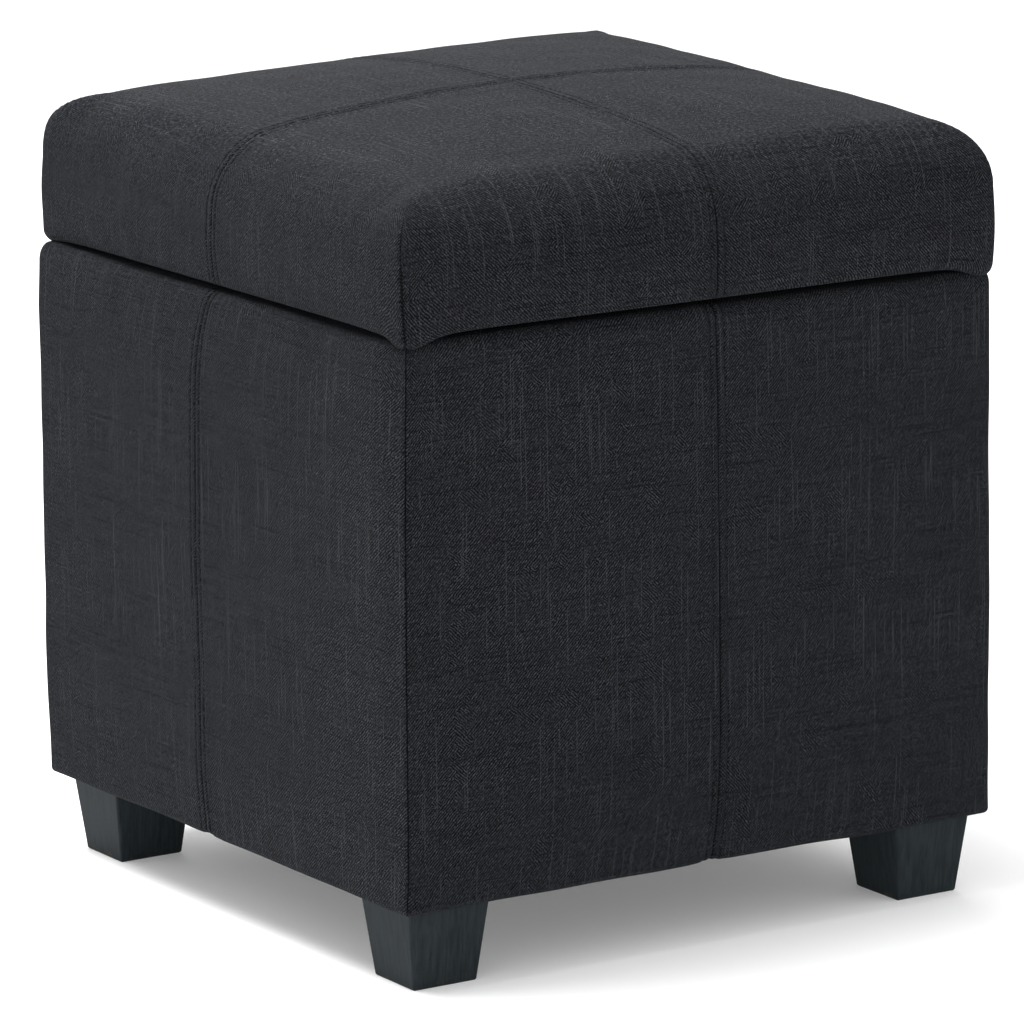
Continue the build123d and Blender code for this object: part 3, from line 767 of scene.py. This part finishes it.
def build_lid_cover():
    lines = lid_lines()
    count = len(lines)
    x0, y0 = np.meshgrid(lines, lines, indexing="ij")
    x0, y0 = x0.ravel(), y0.ravel()
    x, y, level = lid_plan(x0, y0)
    z = lid_crown(x, y) - roll_fall(x0, y0, level)
    spread_x = 1 - (x0 / LID_HALF) ** 2
    spread_y = 1 - (y0 / LID_HALF) ** 2
    x = x + spread_x * lid_seam_shift(y0, *LID_SEAM_SHIFTS[0])
    y = y + spread_y * lid_seam_shift(x0, *LID_SEAM_SHIFTS[1])
    cap = np.stack([x, y, z], axis=1)
    rim = [i * count + j for i, j in rim_indices(count)]
    skirt = lid_skirt(cap[rim])
    rows = len(skirt)
    points = np.concatenate([cap] + skirt)
    loops = [rim] + [[len(cap) + k for k in loop] for loop in row_loops(rows * len(rim), rows)]
    obj = new_object("lid_cover_upholstery", points, grid_faces(count) + band_faces(loops))

    # nominal places of every vertex, for the seams and the weave
    nominal_x = np.concatenate([x0] + [x0[rim]] * rows)
    nominal_y = np.concatenate([y0] + [y0[rim]] * rows)
    drop = np.concatenate([np.zeros(len(cap))] + [np.linalg.norm(ring - cap[rim], axis=1) for ring in skirt])
    fall = roll_fall(x0, y0, level)
    arc = np.hypot(level, fall) * (1 + 0.11 * fall / LID_ROLL) - level
    arc = np.concatenate([arc] + [arc[rim]] * rows)
    on_x = np.abs(nominal_x) >= np.abs(nominal_y)
    weave_x = nominal_x + np.where(on_x, np.sign(nominal_x) * (arc + drop), 0)
    weave_y = nominal_y + np.where(on_x, 0, np.sign(nominal_y) * (arc + drop))

    normals = normals_of(obj)
    seams = seam_profile(nominal_x) + seam_profile(nominal_y)
    seams *= 1 - 0.5 * bell(np.hypot(nominal_x, nominal_y), 6 * MM)
    under = smoothstep(LID_BOTTOM + 1 * MM, LID_BOTTOM + 6 * MM, points[:, 2])
    from_mitre = np.abs(np.abs(nominal_x) - np.abs(nominal_y))
    corner = bell(from_mitre, 0.9 * MM) * smoothstep(LID_SEAM_TOP, LID_SEAM_TOP - 8 * MM, points[:, 2])
    swell = low_folds(points, LID_FOLDS, RNG_SEED)
    # short pull wrinkles above the lower edge
    ripple = smooth_noise(points * np.array([1, 1, 0.25]), 0.016, RNG_SEED + 2)
    low_edge = bell(points[:, 2] - LID_BOTTOM - 8 * MM, 9 * MM)
    push = (seams - CORNER_DITCH[0] * corner) * under + (swell + 0.22 * MM * ripple * low_edge) * under
    moved = points + normals * push[:, None]

    # the lip gathers and hangs a little at the four corners, most at the front
    near = (LID_HALF - np.abs(nominal_x)) + (LID_HALF - np.abs(nominal_y))
    on_front = (np.abs(nominal_y) > np.abs(nominal_x)) & (nominal_y < 0)
    reach = np.where(on_front, *CORNER_SAG_REACH)
    depth = np.where(nominal_y < 0, *CORNER_SAG)
    sag = depth * bell(near - 5 * MM, reach) * smoothstep(
        LID_BOTTOM + 34 * MM, LID_BOTTOM + 3 * MM, points[:, 2])
    tucked = LID_HALF - np.maximum(np.abs(points[:, 0]), np.abs(points[:, 1]))
    moved[:, 2] -= sag * smoothstep(9.5 * MM, 2.5 * MM, tucked)

    # room for the hinge barrels at the back
    for side in (-1, 1):
        middle = side * (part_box("hinge_pin_right")[0][0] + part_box("hinge_pin_right")[1][0]) / 2
        along = smoothstep(*HINGE_REACH, np.abs(points[:, 0] - middle))
        away = moved[:, 1:] - np.array([HINGE_Y, HINGE_Z])
        distance = np.linalg.norm(away, axis=1)
        push = np.clip(HINGE_ROOM - distance, 0, None) * along
        moved[:, 1:] += away / np.maximum(distance, 1e-6)[:, None] * push[:, None]

    set_points(obj, moved + lid_lean(points))

    centres = read(obj.data.polygons, "center")
    quadrant = (centres[:, 0] > LID_SHIFT) * 1 + (centres[:, 1] > 0) * 2
    offsets = np.random.default_rng(RNG_SEED).uniform(0, 3, size=(4, 2))
    set_uv(obj, "weave", np.stack([weave_x, weave_y], axis=1), offsets[quadrant])
    seam_t = np.minimum(np.abs(nominal_x), np.abs(nominal_y))
    seam_s = np.where(np.abs(nominal_x) < np.abs(nominal_y), weave_y, weave_x)
    corner_gap = from_mitre + np.clip(points[:, 2] - LID_SEAM_TOP, 0, None)
    at_corner = corner_gap < seam_t
    set_uv(obj, "seam", np.stack([np.where(at_corner, corner_gap, seam_t),
                                  np.where(at_corner, CORNER_RUN, seam_s)], axis=1))
    return obj, lid_stitch_rows(lines, loops)


# ---- box ----
def box_side_lines():
    """Nominal mesh lines across one face, fine at its middle seam and near its corners."""
    straight = BOX_HALF - BOX_CORNER
    middle = seam_columns()
    near_ends = straight - np.array([0, 1.2, 3.0, 6.0, 10.0, 15.0]) * MM
    between = np.linspace(middle[-1], near_ends[-1], 38)[1:-1]
    return mirrored(middle, list(between) + list(near_ends[::-1]))


def box_rows():
    """The cover's path from inside the rim, over it, down the outside and under the base: (inset, level)."""
    top, bottom = BOX_TOP, BOX_BOTTOM
    rim_inset = BOX_HALF - (-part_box("box_lining")[0][0]) - 0.2 * MM
    rows = [(rim_inset, top - fall * MM) for fall in (33, 24, 16, 10, 6, 3.5)]
    for angle in (0, 30, 60, 90):
        turn = math.radians(angle)
        rows.append((rim_inset - 2 * MM * (1 - math.cos(turn)), top - 2 * MM + 2 * MM * math.sin(turn)))
    rows += [(inset * MM, top + 0.15 * MM) for inset in (20, 16, 12)]
    rows.append((9.2 * MM, top - 0.55 * BOX_EDGE_FALL))
    inwards, down = BOX_ROLL
    top -= BOX_EDGE_FALL
    for angle in np.linspace(90, 0, 11):
        turn = math.radians(angle)
        rows.append((inwards * (1 - math.cos(turn)), top - down * (1 - math.sin(turn))))
    side_top, side_bottom = top - down, bottom + BOX_HEM
    rows += [(0.0, level) for level in np.linspace(side_top, side_bottom, 46)[1:-1]]
    for angle in np.linspace(0, 90, 7):
        turn = math.radians(angle)
        rows.append((BOX_HEM * (1 - math.cos(turn)), side_bottom - BOX_HEM * math.sin(turn)))
    rows += [(inset * MM, bottom) for inset in (8, 14, 22, 30, 38)]
    return rows


BOX_SEAMS = {   # sideways place of each face's seam at rising levels, millimetres
    "front": ((47, 2.8), (75, 8.0), (115, 10.5), (250, 10.0), (330, 9.5), (373, 8.0)),
    "right": ((47, -3.0), (120, -5.0), (330, -5.0), (373, -4.0)),
    "back": ((47, 5.0), (120, 7.0), (330, 6.0), (373, 6.0)),
    "left": ((47, -14.0), (90, -18.5), (220, -20.0), (320, -17.0), (350, -11.0), (373, -1.0)),
}


def box_seam_place(face, level):
    levels, places = zip(*BOX_SEAMS[face])
    wide = np.linspace(-12, 12, 9)
    return float(np.mean([np.interp(level / MM + step, levels, places) for step in wide])) * MM


def lean_box(points):
    """The stuffed box isn't quite square: its left side spreads to the back, its right side a little."""
    level = points[:, 2]
    depth = BOX_HALF - np.maximum(np.abs(points[:, 0]), np.abs(points[:, 1]))
    pull = 1 - smoothstep(4 * MM, 18 * MM, depth)
    right = (1 + points[:, 0] / BOX_HALF) / 2
    back = (1 + points[:, 1] / BOX_HALF) / 2
    moved = points.copy()
    moved[:, 0] -= (1 - right) * back * by_level(((47, 4.8), (100, 5.5), (360, 5.5), (373, 4.6)), level)
    moved[:, 0] += right * (1 - back) * by_level(((47, 4.6), (150, 4.2), (373, 3.4)), level)
    moved[:, 0] += right * back * 1.5 * MM
    moved[:, 1] += (1 - right) * back * by_level(((47, 2.9), (335, 2.9), (358, 0.0)), level)
    near = np.hypot(points[:, 0] + BOX_HALF, points[:, 1] + BOX_HALF)
    moved[:, 0] += bell(near, 17 * MM) * by_level(
        ((47, 0.7), (70, 2.0), (200, 2.4), (270, 3.0), (373, 4.6)), level)
    leaned = points + (moved - points) * pull[:, None]
    outside_board = smoothstep(12 * MM, 8 * MM, depth) * smoothstep(-30 * MM, -4 * MM, level - BOX_TOP)
    leaned[:, 2] += BOX_EDGE_FALL * near_corner(points, BOX_HALF) * outside_board
    return leaned


def box_cover_table(rows):
    """The cover's points, row by row: x, y, level, place along a face, run, side, and 1 on a corner line."""
    lines = box_side_lines()
    straight = BOX_HALF - BOX_CORNER
    arc_steps = [0.12, 0.3, 0.55, 0.8]
    table = []
    run = 0.0
    for index, (inset, level) in enumerate(rows):
        if index:
            run += math.hypot(inset - rows[index - 1][0], level - rows[index - 1][1])
        half = BOX_HALF - inset
        radius = max(BOX_CORNER - inset, 0.25 * MM)
        reach = half - radius
        for side, face in enumerate(("front", "right", "back", "left")):
            shift = box_seam_place(face, level)
            local = []
            # half of the corner before the face, the face, half of the corner after it
            for share in [0.0] + arc_steps:
                angle = math.radians(45 * (1 - share))
                local.append((-reach - radius * math.sin(angle), -reach - radius * math.cos(angle),
                              -straight - BOX_CORNER * angle, share))
            for line in lines:
                moved = line + shift * (1 - (line / straight) ** 2)
                local.append((moved * reach / straight, -half, line, 1.0))
            for share in arc_steps[::-1]:
                angle = math.radians(45 * (1 - share))
                local.append((reach + radius * math.sin(angle), -reach - radius * math.cos(angle),
                              straight + BOX_CORNER * angle, share))
            for x, y, along, share in local:
                table.append((*quarter_turned(x, y, side), level, along, run, side, share == 0.0))
    return np.array(table)


def build_box_cover():
    rows = box_rows()
    table = box_cover_table(rows)
    points = table[:, :3].copy()
    signed, run, side, corner_line = table[:, 3:].T
    weave = np.stack([signed + side * BOX_FACE_STEP, run], axis=1)
    face_end = BOX_HALF - BOX_CORNER + BOX_CORNER * math.pi / 4
    from_corner, from_middle = face_end - np.abs(signed), np.abs(signed)
    at_corner = from_corner < from_middle
    seam = np.stack([np.where(at_corner, from_corner, from_middle),
                     np.where(at_corner, CORNER_RUN, run)], axis=1)
    loops = row_loops(len(points), len(rows))
    per_row = len(loops[0])
    obj = new_object("box_cover_upholstery", points, band_faces(loops))
    normals = normals_of(obj)
    outside = smoothstep(14 * MM, 5 * MM, BOX_HALF - np.maximum(np.abs(points[:, 0]), np.abs(points[:, 1])))
    hem = smoothstep(BOX_BOTTOM, BOX_BOTTOM + 5 * MM, points[:, 2])
    swell = low_folds(points, BOX_FOLDS, RNG_SEED + 3)
    top_edge = bell(points[:, 2] - BOX_TOP + 14 * MM, 16 * MM)
    ripple = smooth_noise(points * np.array([1, 1, 0.2]), 0.018, RNG_SEED + 5)
    seams = seam_profile(signed) - CORNER_DITCH[1] * corner_line
    push = (seams + 0.25 * MM * ripple * top_edge) * outside
    moved = points + normals * (push + swell * outside * hem)[:, None]
    # the hem runs a little wavy and lifts at the seams
    wave = 0.5 * MM * smooth_noise(points * np.array([1, 1, 0]), 0.09, RNG_SEED + 6)
    lift = HEM_LIFT * bell(signed, 7 * MM)
    low_part = smoothstep(BOX_BOTTOM + 30 * MM, BOX_BOTTOM, points[:, 2])
    moved[:, 2] += (wave + lift - 0.5 * MM) * low_part * outside
    set_points(obj, lean_box(moved))

    # a face of the mesh that closes a row wraps back to the first column: its weave is set by its panel
    panel = (2 * side + (signed > 0))[:per_row].astype(int)
    per_face_panel = np.tile(panel, len(rows) - 1)
    offsets = np.random.default_rng(RNG_SEED + 9).uniform(0, 3, size=(8, 2))
    set_wrapped_uv(obj, "weave", weave, per_row, len(rows), offsets[per_face_panel])
    set_wrapped_uv(obj, "seam", seam, per_row, len(rows), None)
    upright = [k for k, row in enumerate(rows) if row[0] == 0.0]
    sewn = loops[upright[0] - ROWS_SEWN_ABOVE:upright[-1] + 1]
    stitched = [[loop[column] for loop in sewn] for column in range(per_row)
                if abs(abs(signed[column]) - STITCH_ROW) < 1e-9]
    return obj, stitched


def set_wrapped_uv(obj, name, values, per_row, row_count, offsets):
    """UV layer for loops of columns. A quad takes its width from its left column, so corners don't smear."""
    columns = np.arange(per_row)
    after = (columns + 1) % per_row
    along = values[:, 0].reshape(row_count, per_row)
    run = values[:, 1].reshape(row_count, per_row)
    jump = np.abs(along[0, after] - along[0, columns]) > 30 * MM
    right = np.where(jump & (name == "weave"), along[:, columns] + 0.4 * MM, along[:, after])
    uv = np.zeros((row_count - 1, per_row, 4, 2))
    uv[:, :, 0] = np.stack([along[:-1], run[:-1]], axis=-1)
    uv[:, :, 1] = np.stack([along[1:], run[1:]], axis=-1)
    uv[:, :, 2] = np.stack([right[1:], run[1:]], axis=-1)
    uv[:, :, 3] = np.stack([right[:-1], run[:-1]], axis=-1)
    uv = uv.reshape(-1, 4, 2)
    if offsets is not None:
        uv = uv + offsets[:, None, :]
    write_uv(obj, name, uv)


# ---- set: floor, lights and camera ----
def build_stage():
    corners = [(FLOOR_HALF * x, FLOOR_HALF * y, 0) for x, y in ((-1, -1), (1, -1), (1, 1), (-1, 1))]
    floor = new_object("floor", corners, [(0, 1, 2, 3)], smooth=False)
    n = Nodes("pale_floor")
    x, y, z = n.place()
    speck = n.noise(n.vector(x, y, z), scale=90.0, detail=3)
    n.colour(n.mix(speck, (0.86, 0.86, 0.86, 1), (0.89, 0.89, 0.89, 1)))
    n.set(Roughness=0.9, Specular_IOR_Level=0.1, Emission_Color=(1, 1, 1, 1), Emission_Strength=0.15)
    floor.data.materials.append(n.material)


def area_light(name, place, width, power):
    light = bpy.data.lights.new(name, "AREA")
    light.shape = "SQUARE"
    light.size = width
    light.energy = power
    obj = bpy.data.objects.new(name, light)
    bpy.context.scene.collection.objects.link(obj)
    direction = Vector(LIGHTS_AIM) - Vector(place)
    obj.location = place
    obj.rotation_euler = direction.to_track_quat("-Z", "Y").to_euler()


def build_lights():
    for values in LIGHTS:
        area_light(*values)
    world = bpy.data.worlds.new("studio")
    world.use_nodes = True
    world.node_tree.nodes["Background"].inputs["Color"].default_value = (1, 1, 1, 1)
    world.node_tree.nodes["Background"].inputs["Strength"].default_value = 1.0
    bpy.context.scene.world = world
    bpy.context.scene.view_settings.view_transform = "Standard"


def build_camera():
    """Product view from above the front-left corner, with a long lens."""
    azimuth, elevation, roll = (math.radians(angle) for angle in CAMERA_ANGLES)
    back = Vector((math.sin(azimuth) * math.cos(elevation), -math.cos(azimuth) * math.cos(elevation),
                   math.sin(elevation)))
    right = Vector((math.cos(azimuth), math.sin(azimuth), 0))
    up = back.cross(right)
    right, up = (math.cos(roll) * right + math.sin(roll) * up, math.cos(roll) * up - math.sin(roll) * right)
    data = bpy.data.cameras.new("camera")
    data.lens = CAMERA_LENS
    data.sensor_width = CAMERA_SENSOR
    camera = bpy.data.objects.new("camera", data)
    axes = Matrix((right, up, back)).transposed().to_4x4()
    camera.matrix_world = Matrix.Translation(Vector(CAMERA_AIM) + back * CAMERA_DISTANCE) @ axes
    bpy.context.scene.collection.objects.link(camera)
    bpy.context.scene.camera = camera


# ---- stitches ----
def stitch_points(centre, normal, tangent):
    """Points of one stitch that lies along the tangent on the cloth and dives in at both ends."""
    across = np.cross(tangent, normal)
    across /= np.linalg.norm(across)
    points = []
    for share, fat, rise in STITCH_RINGS:
        middle = centre + tangent * share + normal * (rise * MM)
        for k in range(STITCH_SIDES):
            turn = 2 * math.pi * k / STITCH_SIDES
            points.append(middle + (THREAD / 2) * fat * (across * math.cos(turn) + normal * math.sin(turn)))
    return points


def stitch_faces(base):
    sides, rings = STITCH_SIDES, len(STITCH_RINGS)
    faces = [tuple(base + k for k in range(sides))[::-1],
             tuple(base + (rings - 1) * sides + k for k in range(sides))]
    for ring in range(rings - 1):
        for k in range(sides):
            a = base + ring * sides + k
            b = base + ring * sides + (k + 1) % sides
            faces.append((a, b, b + sides, a + sides))
    return faces


def build_stitches(name, cloth_points, cloth_normals, rows):
    """Topstitches along rows of cloth vertices."""
    points, faces = [], []
    rng = np.random.default_rng(RNG_SEED + 20)
    for row in rows:
        line, normal = cloth_points[row], cloth_normals[row]
        length = np.concatenate([[0], np.cumsum(np.linalg.norm(np.diff(line, axis=0), axis=1))])
        for place in np.arange(STITCH_PITCH * 0.6, length[-1] - STITCH_PITCH * 0.6, STITCH_PITCH):
            span = STITCH_LENGTH * rng.uniform(0.94, 1.05)
            ends = [np.array([np.interp(place + side * span / 2, length, line[:, axis]) for axis in range(3)])
                    for side in (-1, 1)]
            up = np.array([np.interp(place, length, normal[:, axis]) for axis in range(3)])
            up /= np.linalg.norm(up)
            faces += stitch_faces(len(points))
            points += stitch_points((ends[0] + ends[1]) / 2, up, ends[1] - ends[0])
    return new_object(name, points, faces)


# ---- soft parts inside ----
def plain_grid(half, count):
    lines = np.linspace(-half, half, count)
    x, y = np.meshgrid(lines, lines, indexing="ij")
    return x.ravel(), y.ravel()


def lid_skin(inset, bottom, shares):
    """The lid's form inset from its cover: a cap, and loops that hang from its rim towards a level."""
    x0, y0 = plain_grid(LID_HALF, LID_SKIN_LINES)
    x, y, level = lid_plan(x0, y0)
    z = lid_crown(x, y) - roll_fall(x0, y0, level) - inset
    scale = (LID_HALF - inset) / LID_HALF
    cap = np.stack([x * scale, y * scale, z], axis=1)
    rim = [i * LID_SKIN_LINES + j for i, j in rim_indices(LID_SKIN_LINES)]
    rings, loops = [], [rim]
    for share in shares:
        ring = cap[rim].copy()
        ring[:, 2] = ring[:, 2] * (1 - share) + bottom * share
        start = len(cap) + len(rings) * len(rim)
        loops.append(list(range(start, start + len(rim))))
        rings.append(ring)
    return cap, rings, loops


def build_lid_batting():
    cap, rings, loops = lid_skin(BATTING_INSET, BATTING_BOTTOM, (0.25, 0.5, 0.75, 1.0))
    points = np.concatenate([cap] + rings)
    obj = new_object("lid_batting_wrap", points, grid_faces(LID_SKIN_LINES) + band_faces(loops))
    lump = 0.25 * MM * smooth_noise(points, 0.02, RNG_SEED + 30)
    set_points(obj, points + normals_of(obj) * lump[:, None] + lid_lean(points))
    thicken(obj, BATTING_THICKNESS)
    return obj


def build_lid_foam():
    cap, rings, loops = lid_skin(FOAM_INSET, FOAM_BOTTOM, (0.3, 0.6, 0.9))
    under = cap.copy()
    under[:, 2] = FOAM_BOTTOM
    base = len(cap) + len(rings) * len(loops[0])
    points = np.concatenate([cap] + rings + [under])
    faces = grid_faces(LID_SKIN_LINES) + band_faces(loops)
    faces += grid_faces(LID_SKIN_LINES, base, flip=True)
    faces += loop_faces(loops[-1], [base + k for k in loops[0]])
    return new_object("lid_foam_pad", points + lid_lean(points), faces)


def rounded_slab(name, low, high, radius, step):
    """A block of foam with softened edges, as a closed grid of quads."""
    low, high = np.array(low), np.array(high)
    half, middle = (high - low) / 2, (high + low) / 2
    seen, points, faces = {}, [], []

    def vertex(corner):
        key = tuple(np.round(corner, 7))
        if key not in seen:
            core = np.clip(corner, -(half - radius), half - radius)
            out = corner - core
            seen[key] = len(points)
            points.append(middle + core + radius * out / np.linalg.norm(out))
        return seen[key]

    def lines(axis):
        inner = np.linspace(-(half[axis] - radius), half[axis] - radius,
                            max(2, int(round(2 * half[axis] / step))))
        return np.concatenate([[-half[axis], -half[axis] + radius * 0.4], inner,
                               [half[axis] - radius * 0.4, half[axis]]])

    for axis in range(3):
        first, second = [(1, 2), (2, 0), (0, 1)][axis]
        for side in (-1, 1):
            for a0, a1 in zip(lines(first), lines(first)[1:]):
                for b0, b1 in zip(lines(second), lines(second)[1:]):
                    face = []
                    for a, b in ((a0, b0), (a1, b0), (a1, b1), (a0, b1)):
                        corner = np.zeros(3)
                        corner[axis], corner[first], corner[second] = side * half[axis], a, b
                        face.append(vertex(corner))
                    faces.append(face if side > 0 else face[::-1])
    return new_object(name, points, faces)


def build_foam_slab(face):
    """The thin foam on one side of the box, a little smaller than its CAD block, clear of the cover."""
    low, high = (np.array(corner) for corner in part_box(face + "_foam"))
    middle = (low + high) / 2
    out = np.sign(middle) * (np.abs(middle) > BOX_HALF * 3 / 4) * np.array([1, 1, 0])
    trim = np.array([SLAB_END_TRIM if face in ("front", "back") else SLAB_TRIM, SLAB_TRIM, SLAB_TRIM])
    low = low + trim + np.maximum(-out, 0) * SLAB_ROOM
    high = high - trim - np.array([0, 0, SLAB_TOP_ROOM]) - np.maximum(out, 0) * SLAB_ROOM
    return rounded_slab(face + "_foam_slab", low, high, SLAB_EDGE, SLAB_STEP)


def build_bin_lining():
    """Sewn tray of thin cloth that lines the bin, with a turned hem at its rim."""
    low, high = (np.array(corner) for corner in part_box("box_lining"))
    half, top, floor = high[0] - 0.4 * MM, high[2], low[2] + 0.4 * MM
    path = [(half + 0.35 * MM, top - fall * MM) for fall in (12, 8, 4, 0.8)]
    path += [(half + 0.15 * MM, top - 0.3 * MM), (half, top - 0.5 * MM)]
    path += [(half, level) for level in np.linspace(top - 3 * MM, floor + 8 * MM, 44)]
    path += [(half - (3 - 3 * math.cos(turn)) * MM, floor + (3 - 3 * math.sin(turn)) * MM)
             for turn in np.radians([15, 45, 75, 90])]
    path += [(half * share, floor) for share in np.linspace(0.95, 0.02, 34)]
    lines = np.linspace(-1, 1, 65)
    points, weave = [], []
    run = 0.0
    for index, (reach, level) in enumerate(path):
        if index:
            run += math.hypot(reach - path[index - 1][0], level - path[index - 1][1])
        for side in range(4):
            for share in lines[:-1]:
                x, y = share * reach, -reach
                points.append((*quarter_turned(x, y, side), level))
                weave.append(((share + 2 * side) * half, run))
    points = np.array(points)
    loops = row_loops(len(points), len(path))
    faces = [face[::-1] for face in band_faces(loops)]
    faces.append(tuple(loops[-1]))
    obj = new_object("bin_lining", points, faces)
    inward = np.abs(smooth_noise(points * np.array([1, 1, 0.5]), 0.07, RNG_SEED + 40)) * 0.7 * MM
    free = smoothstep(top - 14 * MM, top - 60 * MM, points[:, 2])
    from_bracket = np.hypot(points[:, 1] - STAY_BRACKET[0], points[:, 2] - STAY_BRACKET[1])
    stays = smoothstep(55 * MM, 80 * MM, from_bracket)
    wall = np.abs(points[:, 0]) > np.abs(points[:, 1])
    free = free * np.where(wall, stays, 1.0)
    folds = 0.25 * MM * smooth_noise(points, 0.012, RNG_SEED + 41) * free
    set_points(obj, points + normals_of(obj) * (inward * free + np.abs(folds))[:, None])
    set_lining_uv(obj, np.array(weave), 8 * half)
    thicken(obj, 0.4 * MM)
    return obj


def set_lining_uv(obj, values, around):
    """Weave of the tray, carried on across the column where its loop closes."""
    uv = values[read_whole(obj.data.loops, "vertex_index")]
    for polygon in obj.data.polygons:
        own = uv[polygon.loop_start:polygon.loop_start + polygon.loop_total]
        if polygon.loop_total == 4 and np.ptp(own[:, 0]) > around / 2:
            own[own[:, 0] < around / 2, 0] += around
    write_uv(obj, "weave", uv)


def build_panel_cloth(name, node, count, sag, ripple, seed, still):
    """A stapled square sheet: flat at its staples and slack between them."""
    low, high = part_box(node)
    half, level = high[0], (low[2] + high[2]) / 2
    x, y = plain_grid(half, count)
    points = np.stack([x, y, np.full(len(x), level)], axis=1)
    inner = smoothstep(0, 45 * MM, half - np.maximum(np.abs(x), np.abs(y)))
    inner = inner * still(x, y)
    waves = smooth_noise(points, 0.06, seed)
    fine = smooth_noise(points, 0.02, seed + 1)
    points[:, 2] -= inner * (sag + ripple * (waves + 0.4 * fine))
    obj = new_object(name, points, grid_faces(count, flip=True))
    set_uv(obj, "weave", np.stack([x, y], axis=1))
    thicken(obj, (high[2] - low[2]) * 0.8, offset=0.0)
    return obj


def place_piece(obj, body, slot, material, *nodes):
    """Puts a new piece on its body, with its finish and the CAD nodes that it stands for."""
    obj.data.materials.clear()
    obj.data.materials.append(material)
    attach(obj, body)
    if nodes:
        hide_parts(*nodes)


# ---- build ----
build_camera()
build_lights()
build_stage()
finish_cad_nodes()

cloth, thread = cloth_material(), thread_material()
lining, foam = lining_material(), foam_material()

lid_cover, lid_rows = build_lid_cover()
lid_stitches = build_stitches("lid_topstitching", points_of(lid_cover), normals_of(lid_cover),
                              lid_rows)
thicken(lid_cover, CLOTH)
place_piece(lid_cover, "lid", "cover_cloth", cloth, "lid_cover")
place_piece(lid_stitches, "lid", "cover_cloth", thread)

box_cover, box_stitched = build_box_cover()
box_stitches = build_stitches("box_topstitching", points_of(box_cover), normals_of(box_cover),
                              box_stitched)
thicken(box_cover, CLOTH)
place_piece(box_cover, "box", "cover_cloth", cloth, "box_cover")
place_piece(box_stitches, "box", "cover_cloth", thread)

batting = build_lid_batting()
place_piece(batting, "lid", "batting", batting_material(), "lid_batting")
lid_foam = build_lid_foam()
place_piece(lid_foam, "lid", "foam", foam, "lid_foam")
for face in ("front", "back", "left", "right"):
    slab = build_foam_slab(face)
    place_piece(slab, "box", "foam", foam, face + "_foam")

tray = build_bin_lining()
place_piece(tray, "box", "lining_cloth", lining, "box_lining")
under_lid = build_panel_cloth(
    "lid_underside_lining", "lid_lining", count=61, sag=0.3 * MM, ripple=0.15 * MM, seed=RNG_SEED + 50,
    still=lambda x, y: smoothstep(148 * MM, 130 * MM, np.abs(x)))
place_piece(under_lid, "lid", "lining_cloth", lining, "lid_lining")
dust = build_panel_cloth(
    "base_dust_cloth", "dust_cover", count=77, sag=0.5 * MM, ripple=0.35 * MM, seed=RNG_SEED + 60,
    still=lambda x, y: 1 - (np.abs(x) > 120 * MM) * (np.abs(y) > 120 * MM))
place_piece(dust, "box", "dust_cloth", dust_material(), "dust_cover")
